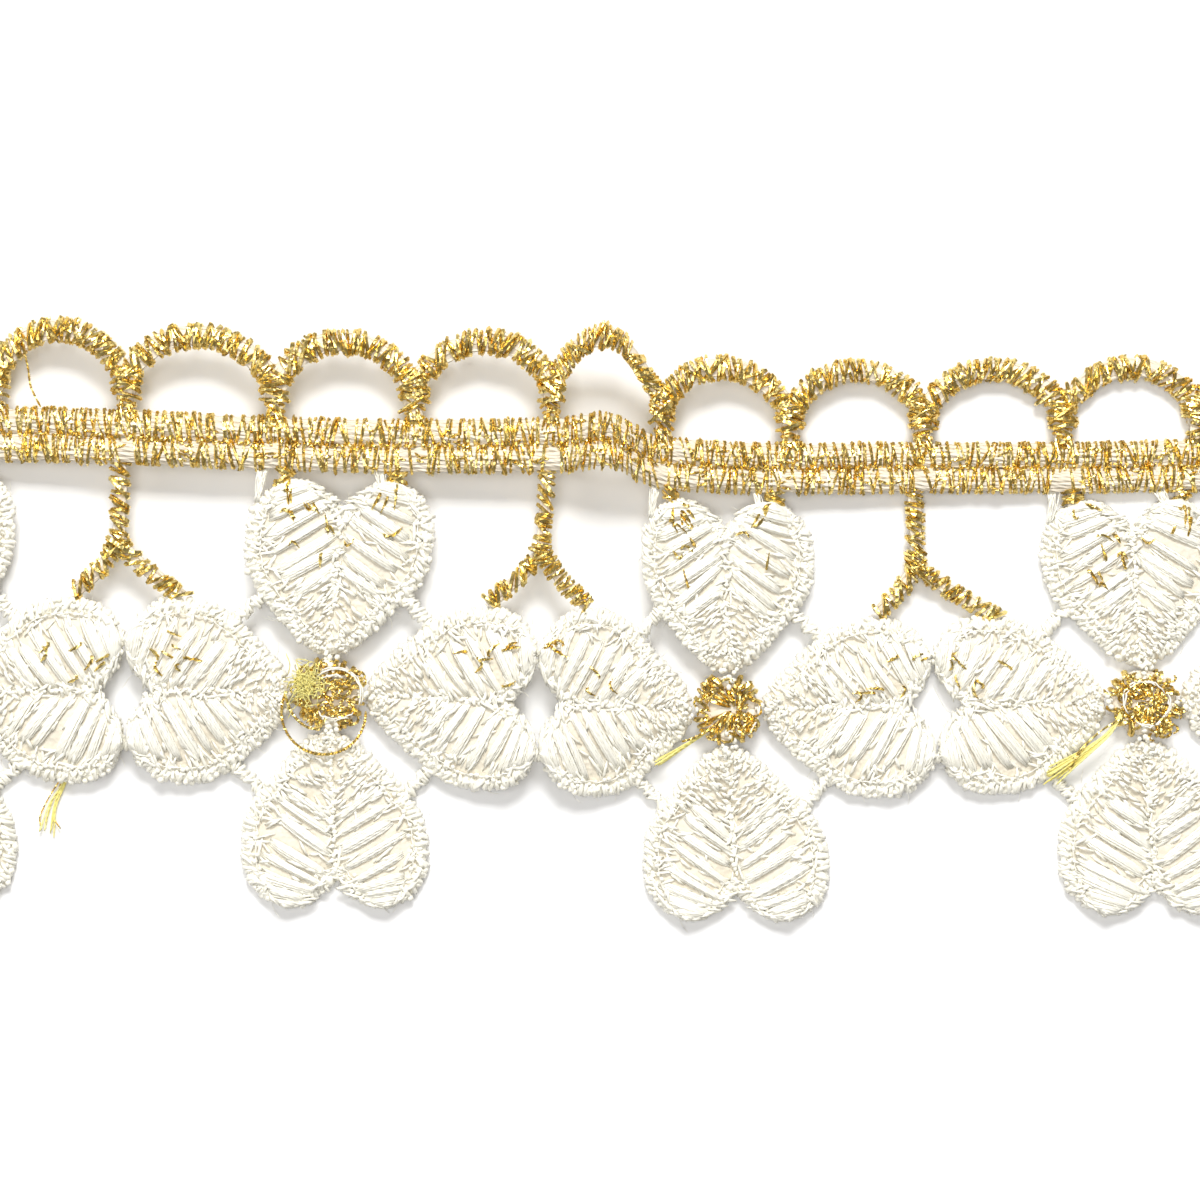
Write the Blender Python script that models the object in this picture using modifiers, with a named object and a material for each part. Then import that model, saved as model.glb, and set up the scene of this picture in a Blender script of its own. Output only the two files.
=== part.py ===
"""A cut length of flower lace braid, lying face up on a flat surface.

The braid is drawn flat first, as the embroidery machine sews it: X runs along the braid
from its cut left end, Y runs across it from the middle of the header, and Z is the
thickness above its back. Each solid is then laid: its points are moved to where that spot
of the braid lies on the surface, with the slack, the pinch and the low waves of the real one.
"""

import math

import bmesh
import bpy
import numpy as np
from mathutils import Matrix

MM = 0.001

# The repeat
REPEATS = 4
FLOWER_PITCH = 32.2 * MM
LOOPS_PER_FLOWER = 3
LOOP_PITCH = FLOWER_PITCH / LOOPS_PER_FLOWER
LOOPS = REPEATS * LOOPS_PER_FLOWER
SEATING_GAP = 0.35 * MM
WELD = 0.00001

# The header, two padded rows of overcast gold stitches side by side
HEADER_WIDTH = 3.9 * MM
HEADER_THICKNESS = 1.5 * MM
HEADER_END = 1.6 * MM
HEADER_STEPS_PER_LOOP = 6
# One side of its section, from the flat back round the row's hump to the valley between the
# rows, in shares of its half width and its thickness
HEADER_SECTION = (
    {"side": 0.86, "height": 0.00},
    {"side": 1.00, "height": 0.35},
    {"side": 0.93, "height": 0.72},
    {"side": 0.52, "height": 1.00},
    {"side": 0.18, "height": 0.85},
    {"side": 0.00, "height": 0.70},
)

# The loops along the header's upper edge, and the posts that they share
LOOP_CORD = 1.75 * MM
LOOP_CORD_THICKNESS = 1.35 * MM
LOOP_LEG_OFFSET = 0.25 * MM
LOOP_FOOT = 1.3 * MM
LOOP_SPRING = 4.45 * MM
LOOP_RISE = 3.15 * MM
LOOP_ARC_STEPS = 10
LOOP_BACK = 0.06 * MM

# The forked gold bars that carry the side petals, one for each gap between flowers. Across
# from its post a stem stands at offset, and its prongs end to either side of the stem; at a
# cut end only the inner prong is left.
BAR_CORD = 1.45 * MM
BAR_CORD_THICKNESS = 1.15 * MM
BAR_BACK = 0.11 * MM
BAR_TOP = -1.5 * MM
FORK = -8.1 * MM
FORK_KNOT = 1.9 * MM
FORK_KNOT_THICKNESS = 1.3 * MM
KNOT_BACK = 0.04 * MM
KNOT_TURN = math.radians(11)
PRONG_START = 0.16 * MM
STEM_END = FORK - 0.23 * MM
PRONG_BOW = 0.42
FORKED_BARS = (
    {"post": 0, "offset": -0.3 * MM, "prong_ends": ((4.8 * MM, -11.05 * MM),)},
    {"post": 3, "offset": -0.5 * MM, "prong_ends": ((-3.4 * MM, -11.0 * MM), (4.8 * MM, -11.1 * MM))},
    {"post": 6, "offset": -0.4 * MM, "prong_ends": ((-3.9 * MM, -11.0 * MM), (4.4 * MM, -11.1 * MM))},
    {"post": 9, "offset": -0.7 * MM, "prong_ends": ((-3.3 * MM, -11.0 * MM), (5.8 * MM, -11.1 * MM))},
    {"post": 12, "offset": 0.2 * MM, "prong_ends": ((-3.8 * MM, -11.0 * MM),)},
)

# The short gold ties between the header and each lobe of a top petal
TIE_CORD = 1.4 * MM
TIE_OFFSETS = (-4.6 * MM, 4.1 * MM)
TIE_END = -2.35 * MM

# The flowers
FLOWER_LINE = -18.9 * MM
TIP_RADIUS = 3.1 * MM
CENTRE_RADIUS = TIP_RADIUS - SEATING_GAP
CENTRE_THICKNESS = 1.7 * MM
CENTRE_STEPS = 18
# A centre's section, from its low dome over the stitched ring to the back, in shares of its
# radius and its thickness
CENTRE_SECTION = (
    {"radius": 0.00, "height": 0.86},
    {"radius": 0.30, "height": 0.90},
    {"radius": 0.52, "height": 0.74},
    {"radius": 0.74, "height": 1.00},
    {"radius": 0.93, "height": 0.80},
    {"radius": 1.00, "height": 0.42},
    {"radius": 0.90, "height": 0.00},
    {"radius": 0.00, "height": 0.00},
)

# Each petal is a heart: where it points, and its length and half width
PETALS = (
    {"points_to": 90, "length": 13.1 * MM, "half_width": 7.1 * MM},
    {"points_to": 180, "length": 12.8 * MM, "half_width": 6.9 * MM},
    {"points_to": 270, "length": 13.3 * MM, "half_width": 7.2 * MM},
    {"points_to": 0, "length": 12.8 * MM, "half_width": 6.9 * MM},
)
# Half of the heart in shares of its length and half width: its outer side from the tip to
# the top of the lobe, and its inner side from the tip along the vein, the notch and the lobe
HEART_OUTER = (
    (0.00, 0.10),
    (0.07, 0.32),
    (0.21, 0.58),
    (0.35, 0.80),
    (0.48, 0.95),
    (0.65, 1.00),
    (0.81, 0.97),
    (0.93, 0.82),
    (1.00, 0.56),
)
HEART_INNER = ((0.00, 0.00), (0.40, 0.00), (0.80, 0.00), (0.92, 0.17), (0.985, 0.35), (1.00, 0.56))
VEIN_END = 0.80
PETAL_ROWS = 12
# How much sooner a row reaches the vein than the edge, a power under 1
SLANT = 0.75
# Across half a petal from the vein to the edge: the share of the way, and the height there
PETAL_SECTION = (
    {"share": 0.00, "height": 0.95 * MM},
    {"share": 0.14, "height": 1.20 * MM},
    {"share": 0.50, "height": 1.35 * MM},
    {"share": 0.80, "height": 1.05 * MM},
    {"share": 0.91, "height": 1.20 * MM},
    {"share": 1.00, "height": 0.55 * MM},
)
EDGE_HEIGHT = 0.55 * MM

# The ivory links between neighbouring petals, from one to the other, from the flower's centre
LINK_CORD = 1.05 * MM
LINK_THICKNESS = 0.9 * MM
LINK_BACK = 0.08 * MM
PETAL_LINKS = (
    ((4.7 * MM, 8.3 * MM), (8.3 * MM, 4.7 * MM)),
    ((-4.7 * MM, 8.3 * MM), (-8.3 * MM, 4.7 * MM)),
    ((4.9 * MM, -8.3 * MM), (8.3 * MM, -4.9 * MM)),
    ((-4.9 * MM, -8.3 * MM), (-8.3 * MM, -4.9 * MM)),
)

# How many points a smooth curve is read at between two of its own, and along a heart's inner side
SPLINE_STEPS = 20
HEART_STEPS = 240

# How the braid lies. Posts are counted from the left cut end, one for each loop; x and y are
# where the spot lies and rise is how far its back is off the surface, in millimetres.
LOOP_TOP_LEVEL = 9.0 * MM
HEM_START_LEVEL = -29.0 * MM
HEM_LEVEL = -35.3 * MM
HEADER_LAY = (
    {"post": 0.0, "x": -68.3, "y": 14.6, "rise": 0.00, "loop_stretch": 1.03},
    {"post": 0.7, "x": -60.8, "y": 14.8, "rise": 0.00, "loop_stretch": 1.05},
    {"post": 2.0, "x": -47.0, "y": 15.0, "rise": 1.20, "loop_stretch": 1.08},
    {"post": 3.0, "x": -36.7, "y": 14.7, "rise": 2.00, "loop_stretch": 1.07},
    {"post": 4.0, "x": -25.2, "y": 14.2, "rise": 2.20, "loop_stretch": 1.06},
    {"post": 5.0, "x": -14.4, "y": 14.0, "rise": 1.80, "loop_stretch": 1.06},
    {"post": 6.0, "x": -3.7, "y": 14.1, "rise": 2.40, "loop_stretch": 1.06},
    {"post": 6.5, "x": 0.5, "y": 14.4, "rise": 4.20, "loop_stretch": 1.05},
    {"post": 7.0, "x": 4.8, "y": 12.7, "rise": 2.20, "loop_stretch": 1.03},
    {"post": 8.0, "x": 14.8, "y": 12.3, "rise": 0.90, "loop_stretch": 1.00},
    {"post": 9.0, "x": 25.2, "y": 12.4, "rise": 0.45, "loop_stretch": 1.00},
    {"post": 10.0, "x": 36.1, "y": 12.4, "rise": 0.15, "loop_stretch": 1.02},
    {"post": 11.0, "x": 46.6, "y": 12.6, "rise": 0.00, "loop_stretch": 1.03},
    {"post": 12.0, "x": 57.3, "y": 12.7, "rise": 0.00, "loop_stretch": 1.03},
)
FLOWER_LAY = (
    {"post": 0.0, "x": -69.5, "y": -5.0, "rise": 0.20},
    {"post": 1.5, "x": -53.4, "y": -5.1, "rise": 0.50},
    {"post": 3.0, "x": -37.0, "y": -5.0, "rise": 1.10},
    {"post": 4.5, "x": -21.1, "y": -5.2, "rise": 0.80},
    {"post": 6.0, "x": -4.9, "y": -5.9, "rise": 1.60},
    {"post": 7.5, "x": 9.9, "y": -6.4, "rise": 0.80},
    {"post": 9.0, "x": 26.1, "y": -6.1, "rise": 0.45},
    {"post": 10.5, "x": 42.4, "y": -5.9, "rise": 0.20},
    {"post": 12.0, "x": 58.5, "y": -5.8, "rise": 0.00},
)
HEM_LAY = (
    {"post": 0.0, "x": -68.9, "y": -21.6, "rise": 0.00},
    {"post": 0.8, "x": -60.3, "y": -21.6, "rise": 0.00},
    {"post": 2.2, "x": -45.3, "y": -21.6, "rise": 0.00},
    {"post": 3.0, "x": -36.5, "y": -21.7, "rise": 0.50},
    {"post": 3.8, "x": -28.1, "y": -21.8, "rise": 0.00},
    {"post": 5.2, "x": -13.1, "y": -21.9, "rise": 0.00},
    {"post": 6.0, "x": -4.6, "y": -22.3, "rise": 1.30},
    {"post": 6.8, "x": 3.3, "y": -22.8, "rise": 0.00},
    {"post": 8.2, "x": 18.3, "y": -22.9, "rise": 0.00},
    {"post": 9.0, "x": 27.1, "y": -22.6, "rise": 0.35},
    {"post": 9.8, "x": 35.9, "y": -22.4, "rise": 0.00},
    {"post": 11.2, "x": 50.9, "y": -22.4, "rise": 0.00},
    {"post": 12.0, "x": 59.4, "y": -22.4, "rise": 0.00},
)

GOLD = {"colour": (0.72, 0.52, 0.14, 1.0), "metallic": 0.9, "roughness": 0.35}
IVORY = {"colour": (0.90, 0.88, 0.79, 1.0), "metallic": 0.0, "roughness": 0.45}


def smooth_between(stations, values, at):
    """A smooth curve through the values at the stations, which never swings past them."""
    stations = np.asarray(stations, float)
    values = np.asarray(values, float)
    if values.ndim == 1:
        values = np.repeat(values[:, None], len(at), axis=1)
    widths = np.diff(stations)[:, None]
    grades = np.diff(values, axis=0) / widths
    slopes = np.zeros_like(values)
    slopes[0], slopes[-1] = grades[0], grades[-1]
    before, after = grades[:-1], grades[1:]
    together = before * after > 0
    inner = np.zeros_like(before)
    inner[together] = 2 * before[together] * after[together] / (before[together] + after[together])
    slopes[1:-1] = inner
    spot = np.clip(np.searchsorted(stations, at, side="right") - 1, 0, len(stations) - 2)
    column = np.arange(len(at))
    width = widths[spot, 0]
    way = (at - stations[spot]) / width
    beyond = np.where(way < 0, way, np.where(way > 1, way - 1, 0))
    way = np.clip(way, 0, 1)
    low, high = values[spot, column], values[spot + 1, column]
    low_slope, high_slope = slopes[spot, column], slopes[spot + 1, column]
    curve = (
        low * (1 + 2 * way) * (1 - way) ** 2
        + high * way**2 * (3 - 2 * way)
        + width * way * (1 - way) * (low_slope * (1 - way) - high_slope * way)
    )
    return curve + beyond * width * np.where(beyond < 0, low_slope, high_slope)


def lay_columns(table, post, *names):
    """The named columns of one lay table, read at these posts."""
    stations = [row["post"] for row in table]
    return [smooth_between(stations, [row[name] for row in table], post) for name in names]


def laid(points):
    """Where points of the flat braid lie: an array of x, y, z for one of along, across, up."""
    along, across, up = points.T
    post = along / LOOP_PITCH
    head_x, head_y, head_rise, stretch = lay_columns(HEADER_LAY, post, "x", "y", "rise", "loop_stretch")
    mid_x, mid_y, mid_rise = lay_columns(FLOWER_LAY, post, "x", "y", "rise")
    hem_x, hem_y, hem_rise = lay_columns(HEM_LAY, post, "x", "y", "rise")
    down = (HEM_START_LEVEL - FLOWER_LINE) / (HEM_LEVEL - FLOWER_LINE)
    levels = (HEM_LEVEL, HEM_START_LEVEL, FLOWER_LINE, 0.0, LOOP_TOP_LEVEL)
    loop_top_y = head_y + stretch * LOOP_TOP_LEVEL / MM
    x_at = (hem_x, mid_x + down * (hem_x - mid_x), mid_x, head_x, head_x)
    y_at = (hem_y, mid_y + down * (hem_y - mid_y), mid_y, head_y, loop_top_y)
    rise_at = (hem_rise, hem_rise, mid_rise, head_rise, head_rise)
    x = smooth_between(levels, x_at, across) * MM
    y = smooth_between(levels, y_at, across) * MM
    z = smooth_between(levels, rise_at, across) * MM + up
    return np.stack([x, y, z], axis=1)


def spline_points(rows, count):
    """Points evenly spaced along a smooth curve through the rows, ends included."""
    rows = np.asarray(rows, float)
    padded = np.vstack([2 * rows[0] - rows[1], rows, 2 * rows[-1] - rows[-2]])
    fine = []
    for a, b, c, d in zip(padded, padded[1:], padded[2:], padded[3:]):
        for way in np.linspace(0, 1, SPLINE_STEPS, endpoint=False):
            bend = (2 * a - 5 * b + 4 * c - d) * way**2 + (3 * b - a - 3 * c + d) * way**3
            fine.append(b + 0.5 * ((c - a) * way + bend))
    fine.append(rows[-1])
    fine = np.array(fine)
    run = np.concatenate([[0], np.cumsum(np.linalg.norm(np.diff(fine, axis=0), axis=1))])
    even = np.linspace(0, run[-1], count)
    return np.stack([np.interp(even, run, fine[:, axis]) for axis in range(fine.shape[1])], axis=1)


def clear_scene():
    for thing in list(bpy.data.objects):
        bpy.data.objects.remove(thing)


def collection(name):
    made = bpy.data.collections.new(name)
    bpy.context.scene.collection.children.link(made)
    return made


def material(name, look):
    made = bpy.data.materials.new(name)
    made.use_nodes = True
    shader = made.node_tree.nodes["Principled BSDF"]
    shader.inputs["Base Color"].default_value = look["colour"]
    shader.inputs["Metallic"].default_value = look["metallic"]
    shader.inputs["Roughness"].default_value = look["roughness"]
    return made


def curve_object(name, points, home, cyclic=False):
    """A curve object of one straight-sided spline through the points."""
    data = bpy.data.curves.new(name, "CURVE")
    data.dimensions = "3D"
    data.twist_mode = "Z_UP"
    spline = data.splines.new("POLY")
    spline.points.add(len(points) - 1)
    for target, point in zip(spline.points, points):
        target.co = (*point, 1.0)
    spline.use_cyclic_u = cyclic
    made = bpy.data.objects.new(name, data)
    home.objects.link(made)
    return made


def as_mesh(curve, home):
    """The curve's swept body as a mesh object with its caps welded on; the curve goes."""
    graph = bpy.context.evaluated_depsgraph_get()
    mesh = bpy.data.meshes.new_from_object(curve.evaluated_get(graph))
    name = curve.name
    bpy.data.objects.remove(curve)
    body = bmesh.new()
    body.from_mesh(mesh)
    bmesh.ops.remove_doubles(body, verts=body.verts, dist=WELD)
    bmesh.ops.recalc_face_normals(body, faces=body.faces)
    body.to_mesh(mesh)
    body.free()
    made = bpy.data.objects.new(name, mesh)
    home.objects.link(made)
    return made


def cord(name, points, width, thickness, back, home):
    """A padded cord with its back at that height: a round tube along the points, flattened."""
    middle = back + thickness / 2
    tube = curve_object(name, [(x, y, 0.0) for x, y in points], home)
    tube.data.bevel_depth = width / 2
    tube.data.bevel_resolution = 2
    tube.data.use_fill_caps = True
    made = as_mesh(tube, home)
    made.data.transform(Matrix.Translation((0, 0, middle)) @ Matrix.Diagonal((1, 1, thickness / width, 1)))
    return made


def helper(thing):
    thing.hide_render = True
    thing.display_type = "WIRE"
    return thing


def join_onto(target, others):
    """Fuses the others into the target, one after the other, and keeps the result as its mesh."""
    for other in others:
        helper(other)
        fuse = target.modifiers.new(other.name, "BOOLEAN")
        fuse.operation = "UNION"
        fuse.solver = "EXACT"
        fuse.object = other
    graph = bpy.context.evaluated_depsgraph_get()
    whole = bpy.data.meshes.new_from_object(target.evaluated_get(graph))
    body = bmesh.new()
    body.from_mesh(whole)
    bmesh.ops.triangulate(body, faces=body.faces)
    body.to_mesh(whole)
    body.free()
    target.modifiers.clear()
    target.data = whole
    return target


def post_at(number):
    """How far along the flat braid a post stands."""
    return number * LOOP_PITCH


def header_band(home, workshop):
    """The header: two padded rows side by side on a flat back, cut square at both ends."""
    half = HEADER_WIDTH / 2
    right = [(spot["side"] * half, spot["height"] * HEADER_THICKNESS) for spot in HEADER_SECTION]
    left = [(-side, height) for side, height in reversed(right[:-1])]
    section = curve_object("header_section", [(*spot, 0.0) for spot in right + left], workshop, cyclic=True)
    section.data.dimensions = "2D"
    steps = LOOPS * HEADER_STEPS_PER_LOOP
    inside = [(post_at(LOOPS) * step / steps, 0.0, 0.0) for step in range(steps + 1)]
    ends = (-HEADER_END, 0.0, 0.0), (post_at(LOOPS) + HEADER_END, 0.0, 0.0)
    band = curve_object("gold_header", [ends[0], *inside, ends[1]], home)
    band.data.bevel_mode = "OBJECT"
    band.data.bevel_object = section
    band.data.use_fill_caps = True
    made = as_mesh(band, home)
    bpy.data.objects.remove(section)
    return made


def loop_path(number):
    """One loop: up its left leg, over in half an ellipse, and down its right leg."""
    left = post_at(number) + LOOP_LEG_OFFSET
    right = post_at(number + 1) - LOOP_LEG_OFFSET
    middle, reach = (left + right) / 2, (right - left) / 2
    arc = []
    for step in range(LOOP_ARC_STEPS + 1):
        turn = math.pi * (1 - step / LOOP_ARC_STEPS)
        arc.append((middle + reach * math.cos(turn), LOOP_SPRING + LOOP_RISE * math.sin(turn)))
    halfway = (LOOP_FOOT + LOOP_SPRING) / 2
    return [(left, LOOP_FOOT), (left, halfway), *arc, (right, halfway), (right, LOOP_FOOT)]


def loops(workshop):
    made = []
    for number in range(LOOPS):
        back = LOOP_BACK * (1 + number % 2)
        made.append(cord(f"loop_{number}", loop_path(number), LOOP_CORD, LOOP_CORD_THICKNESS, back, workshop))
    return made


def forked_bar(bar, workshop):
    """A stem down from the header to a knot, and a prong from there to each side petal."""
    number = bar["post"]
    along = post_at(number) + bar["offset"]
    stem = [(along, BAR_TOP + (STEM_END - BAR_TOP) * step / 4) for step in range(5)]
    pieces = [cord(f"stem_{number}", stem, BAR_CORD, BAR_CORD_THICKNESS, BAR_BACK, workshop)]
    for count, (side, down) in enumerate(bar["prong_ends"]):
        bow = (along + side * PRONG_BOW, (FORK + down) / 2)
        start = (along - math.copysign(PRONG_START, side), FORK + BAR_CORD * 0.3)
        path = spline_points([start, bow, (along + side, down)], 6)
        back = BAR_BACK + LOOP_BACK * (count + 1)
        pieces.append(cord(f"prong_{number}_{count}", path, BAR_CORD, BAR_CORD_THICKNESS, back, workshop))
    bpy.ops.mesh.primitive_uv_sphere_add(segments=12, ring_count=6, radius=FORK_KNOT / 2)
    knot = bpy.context.object
    knot.name = f"knot_{number}"
    knot.users_collection[0].objects.unlink(knot)
    workshop.objects.link(knot)
    flat = Matrix.Diagonal((1, 1, FORK_KNOT_THICKNESS / FORK_KNOT, 1)) @ Matrix.Rotation(KNOT_TURN, 4, "Z")
    knot.data.transform(Matrix.Translation((along, FORK, KNOT_BACK + FORK_KNOT_THICKNESS / 2)) @ flat)
    return [*pieces, knot]


def forked_bars(workshop):
    return [piece for bar in FORKED_BARS for piece in forked_bar(bar, workshop)]


def flower_along(flower):
    """How far along the flat braid a flower's centre is."""
    return (flower + 0.5) * FLOWER_PITCH


def ties(workshop):
    """The short gold ties from the header down to the lobes of each top petal."""
    made = []
    for flower in range(REPEATS):
        for count, offset in enumerate(TIE_OFFSETS):
            along = flower_along(flower) + offset
            path = [(along, BAR_TOP), (along, (BAR_TOP + TIE_END) / 2), (along, TIE_END)]
            made.append(cord(f"tie_{flower}_{count}", path, TIE_CORD, BAR_CORD_THICKNESS, BAR_BACK, workshop))
    return made


def heart_point(petal, row_share, column):
    """A spot of the upper surface of half a petal, with its tip at the origin, pointing along X."""
    outer = spline_points(HEART_OUTER, PETAL_ROWS + 1)[round(row_share * PETAL_ROWS)]
    ahead = row_share**SLANT
    inner = spline_points(HEART_INNER, HEART_STEPS + 1)[round(ahead * HEART_STEPS)]
    section = PETAL_SECTION[column]
    reach, spread = inner + (outer - inner) * section["share"]
    past_vein = column == 0 and inner[0] > VEIN_END
    height = EDGE_HEIGHT if past_vein or row_share > 1 - WELD else section["height"]
    return reach * petal["length"], max(spread, 0.0) * petal["half_width"], height


def petal_body(petal):
    """A whole petal: half of its crowned surface, mirrored at the vein, on a flat back."""
    columns = len(PETAL_SECTION) - 1
    body = bmesh.new()
    bmesh.ops.create_grid(body, x_segments=PETAL_ROWS, y_segments=columns, size=0.5)
    for vert in body.verts:
        column = round((vert.co.y + 0.5) * columns)
        vert.co = heart_point(petal, vert.co.x + 0.5, column)
    mirrored = bmesh.ops.duplicate(body, geom=body.verts[:] + body.edges[:] + body.faces[:])["geom"]
    for vert in mirrored:
        if isinstance(vert, bmesh.types.BMVert):
            vert.co.y = -vert.co.y
    bmesh.ops.remove_doubles(body, verts=body.verts, dist=WELD * 2)
    rim = [edge for edge in body.edges if edge.is_boundary]
    walls = bmesh.ops.extrude_edge_only(body, edges=rim)["geom"]
    for vert in walls:
        if isinstance(vert, bmesh.types.BMVert):
            vert.co.z = 0.0
    open_edges = [edge for edge in body.edges if edge.is_boundary]
    bmesh.ops.holes_fill(body, edges=open_edges, sides=0)
    bmesh.ops.triangulate(body, faces=[face for face in body.faces if len(face.verts) > 4])
    bmesh.ops.recalc_face_normals(body, faces=body.faces)
    return body


def petal_object(name, petal, along, home):
    """A petal in its place on the flat braid, its tip a little out from the flower's centre."""
    body = petal_body(petal)
    turn = Matrix.Rotation(math.radians(petal["points_to"]), 4, "Z")
    place = Matrix.Translation((along, FLOWER_LINE, 0.0)) @ turn @ Matrix.Translation((TIP_RADIUS, 0, 0))
    bmesh.ops.transform(body, matrix=place, verts=body.verts)
    mesh = bpy.data.meshes.new(name)
    body.to_mesh(mesh)
    body.free()
    made = bpy.data.objects.new(name, mesh)
    home.objects.link(made)
    return made


def ivory_flower(flower, home, workshop):
    """Four heart petals and the links that join each to its neighbours, in one piece."""
    along = flower_along(flower)
    whole = petal_object(f"ivory_flower_{flower + 1}", PETALS[0], along, home)
    others = [petal_object(f"petal_{flower}_{i}", PETALS[i], along, workshop) for i in range(1, 4)]
    for count, ends in enumerate(PETAL_LINKS):
        path = spline_points([(along + x, FLOWER_LINE + y) for x, y in ends], 4)
        name = f"link_{flower}_{count}"
        others.append(cord(name, path, LINK_CORD, LINK_THICKNESS, LINK_BACK, workshop))
    return join_onto(whole, others)


def gold_centre(flower, home):
    """A flower's round gold button: a raised stitched ring round a low dome."""
    name = f"gold_centre_{flower + 1}"
    mesh = bpy.data.meshes.new(name)
    points = [(r["radius"] * CENTRE_RADIUS, 0.0, r["height"] * CENTRE_THICKNESS) for r in CENTRE_SECTION]
    mesh.from_pydata(points, [(i, i + 1) for i in range(len(points) - 1)], [])
    made = bpy.data.objects.new(name, mesh)
    home.objects.link(made)
    turn = made.modifiers.new("turn", "SCREW")
    turn.steps = turn.render_steps = CENTRE_STEPS
    turn.use_merge_vertices = True
    turn.merge_threshold = WELD
    graph = bpy.context.evaluated_depsgraph_get()
    turned = bpy.data.meshes.new_from_object(made.evaluated_get(graph))
    made.modifiers.clear()
    made.data = turned
    made.data.transform(Matrix.Translation((flower_along(flower), FLOWER_LINE, 0.0)))
    return made


def lay_down(things):
    """Moves each solid's points to where the braid lies, centred over the origin."""
    shapes = {}
    for thing in things:
        points = np.empty(len(thing.data.vertices) * 3)
        thing.data.vertices.foreach_get("co", points)
        shapes[thing.name] = laid(points.reshape(-1, 3))
    every = np.vstack(list(shapes.values()))
    low, high = every.min(axis=0), every.max(axis=0)
    shift = np.array([-(low[0] + high[0]) / 2, -(low[1] + high[1]) / 2, -low[2]])
    for thing in things:
        thing.data.vertices.foreach_set("co", (shapes[thing.name] + shift).ravel())
        thing.data.update()


def finish(thing, look):
    thing.data.materials.clear()
    thing.data.materials.append(look)
    thing.data.shade_smooth()
    thing.data.set_sharp_from_angle(angle=math.radians(40))


def main():
    clear_scene()
    braid = collection("flower_lace_braid")
    workshop = collection("cutters")
    gold = material("gold_metal_thread", GOLD)
    ivory = material("ivory_rayon_thread", IVORY)
    header = header_band(braid, workshop)
    join_onto(header, loops(workshop) + forked_bars(workshop) + ties(workshop))
    flowers = [ivory_flower(number, braid, workshop) for number in range(REPEATS)]
    centres = [gold_centre(number, braid) for number in range(REPEATS)]
    lay_down([header, *flowers, *centres])
    for thing in [header, *centres]:
        finish(thing, gold)
    for thing in flowers:
        finish(thing, ivory)
    for thing in list(workshop.objects):
        bpy.data.objects.remove(thing)


main()
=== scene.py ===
"""Dresses the flower lace braid: its gold windings, ivory satin stitches and loose thread ends.

Every piece is drawn flat in millimetres first, along the braid, across it and up from its
back, as the machine sews it, and is then laid where the real length lies.
"""

import math

import bmesh
import bpy
import numpy as np
from bpy.props import FloatProperty, FloatVectorProperty, IntProperty, PointerProperty
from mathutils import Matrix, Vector


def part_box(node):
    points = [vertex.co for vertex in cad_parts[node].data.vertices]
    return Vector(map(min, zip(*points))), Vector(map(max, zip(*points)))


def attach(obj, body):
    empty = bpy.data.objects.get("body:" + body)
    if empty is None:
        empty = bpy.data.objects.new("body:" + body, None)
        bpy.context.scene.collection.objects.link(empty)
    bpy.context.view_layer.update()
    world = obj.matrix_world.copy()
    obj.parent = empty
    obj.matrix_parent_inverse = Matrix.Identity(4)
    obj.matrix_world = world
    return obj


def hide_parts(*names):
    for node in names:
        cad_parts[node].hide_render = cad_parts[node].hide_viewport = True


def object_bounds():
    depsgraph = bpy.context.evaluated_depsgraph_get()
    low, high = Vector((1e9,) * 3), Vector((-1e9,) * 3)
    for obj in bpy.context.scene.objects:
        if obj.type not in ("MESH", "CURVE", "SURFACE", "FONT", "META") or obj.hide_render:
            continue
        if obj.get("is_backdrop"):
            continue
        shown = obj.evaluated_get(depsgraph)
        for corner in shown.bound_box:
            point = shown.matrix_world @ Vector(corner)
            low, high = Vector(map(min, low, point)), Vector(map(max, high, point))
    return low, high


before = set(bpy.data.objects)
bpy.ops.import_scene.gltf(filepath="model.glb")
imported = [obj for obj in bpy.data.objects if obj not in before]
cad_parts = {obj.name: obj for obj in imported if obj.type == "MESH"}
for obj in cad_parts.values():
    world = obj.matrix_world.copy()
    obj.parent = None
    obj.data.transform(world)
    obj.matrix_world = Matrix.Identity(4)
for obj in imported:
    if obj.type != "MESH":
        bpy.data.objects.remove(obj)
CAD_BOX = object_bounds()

bl_info = {
    "name": "Flower lace braid",
    "version": (1, 0, 0),
    "blender": (4, 5, 0),
    "location": "3D View > Sidebar > Lace",
    "description": "Winds and stitches a cut length of gold and ivory flower lace braid",
    "category": "Add Mesh",
}


def rows_of(names, *rows):
    """A table's rows as dictionaries, under the names that its heading gives."""
    return tuple(dict(zip(names.split(), row)) for row in rows)


def arcs_of(*rows):
    return rows_of("radius start end middle", *rows)


def spots_of(*rows):
    return rows_of("x y rise", *rows)


MM = 0.001
TINY = 1e-9
UP = np.array([0.0, 0.0, 1.0])
TURN = 2 * math.pi
# Nothing lies closer to the floor than this
FLOOR_GAP = 0.01

GOLD_SLOT = "gold_metal_thread"
IVORY_SLOT = "ivory_rayon_thread"
# Each look's slot, and whether its pieces are shaded smooth: flat facets are what makes film glint
FINISHES = {
    "gold_metal_film": {"slot": GOLD_SLOT, "smooth": False},
    "beige_padding_cotton": {"slot": GOLD_SLOT, "smooth": True},
    "pale_yellow_core_thread": {"slot": GOLD_SLOT, "smooth": True},
    "ivory_padding_stitches": {"slot": IVORY_SLOT, "smooth": True},
    "ivory_satin_thread": {"slot": IVORY_SLOT, "smooth": True},
    "ivory_edge_thread": {"slot": IVORY_SLOT, "smooth": True},
}

# The repeat, in millimetres as all of the flat drawing is
REPEATS = 4
FLOWER_PITCH = 32.2
LOOP_PITCH = FLOWER_PITCH / 3
LOOPS = REPEATS * 3
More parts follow.
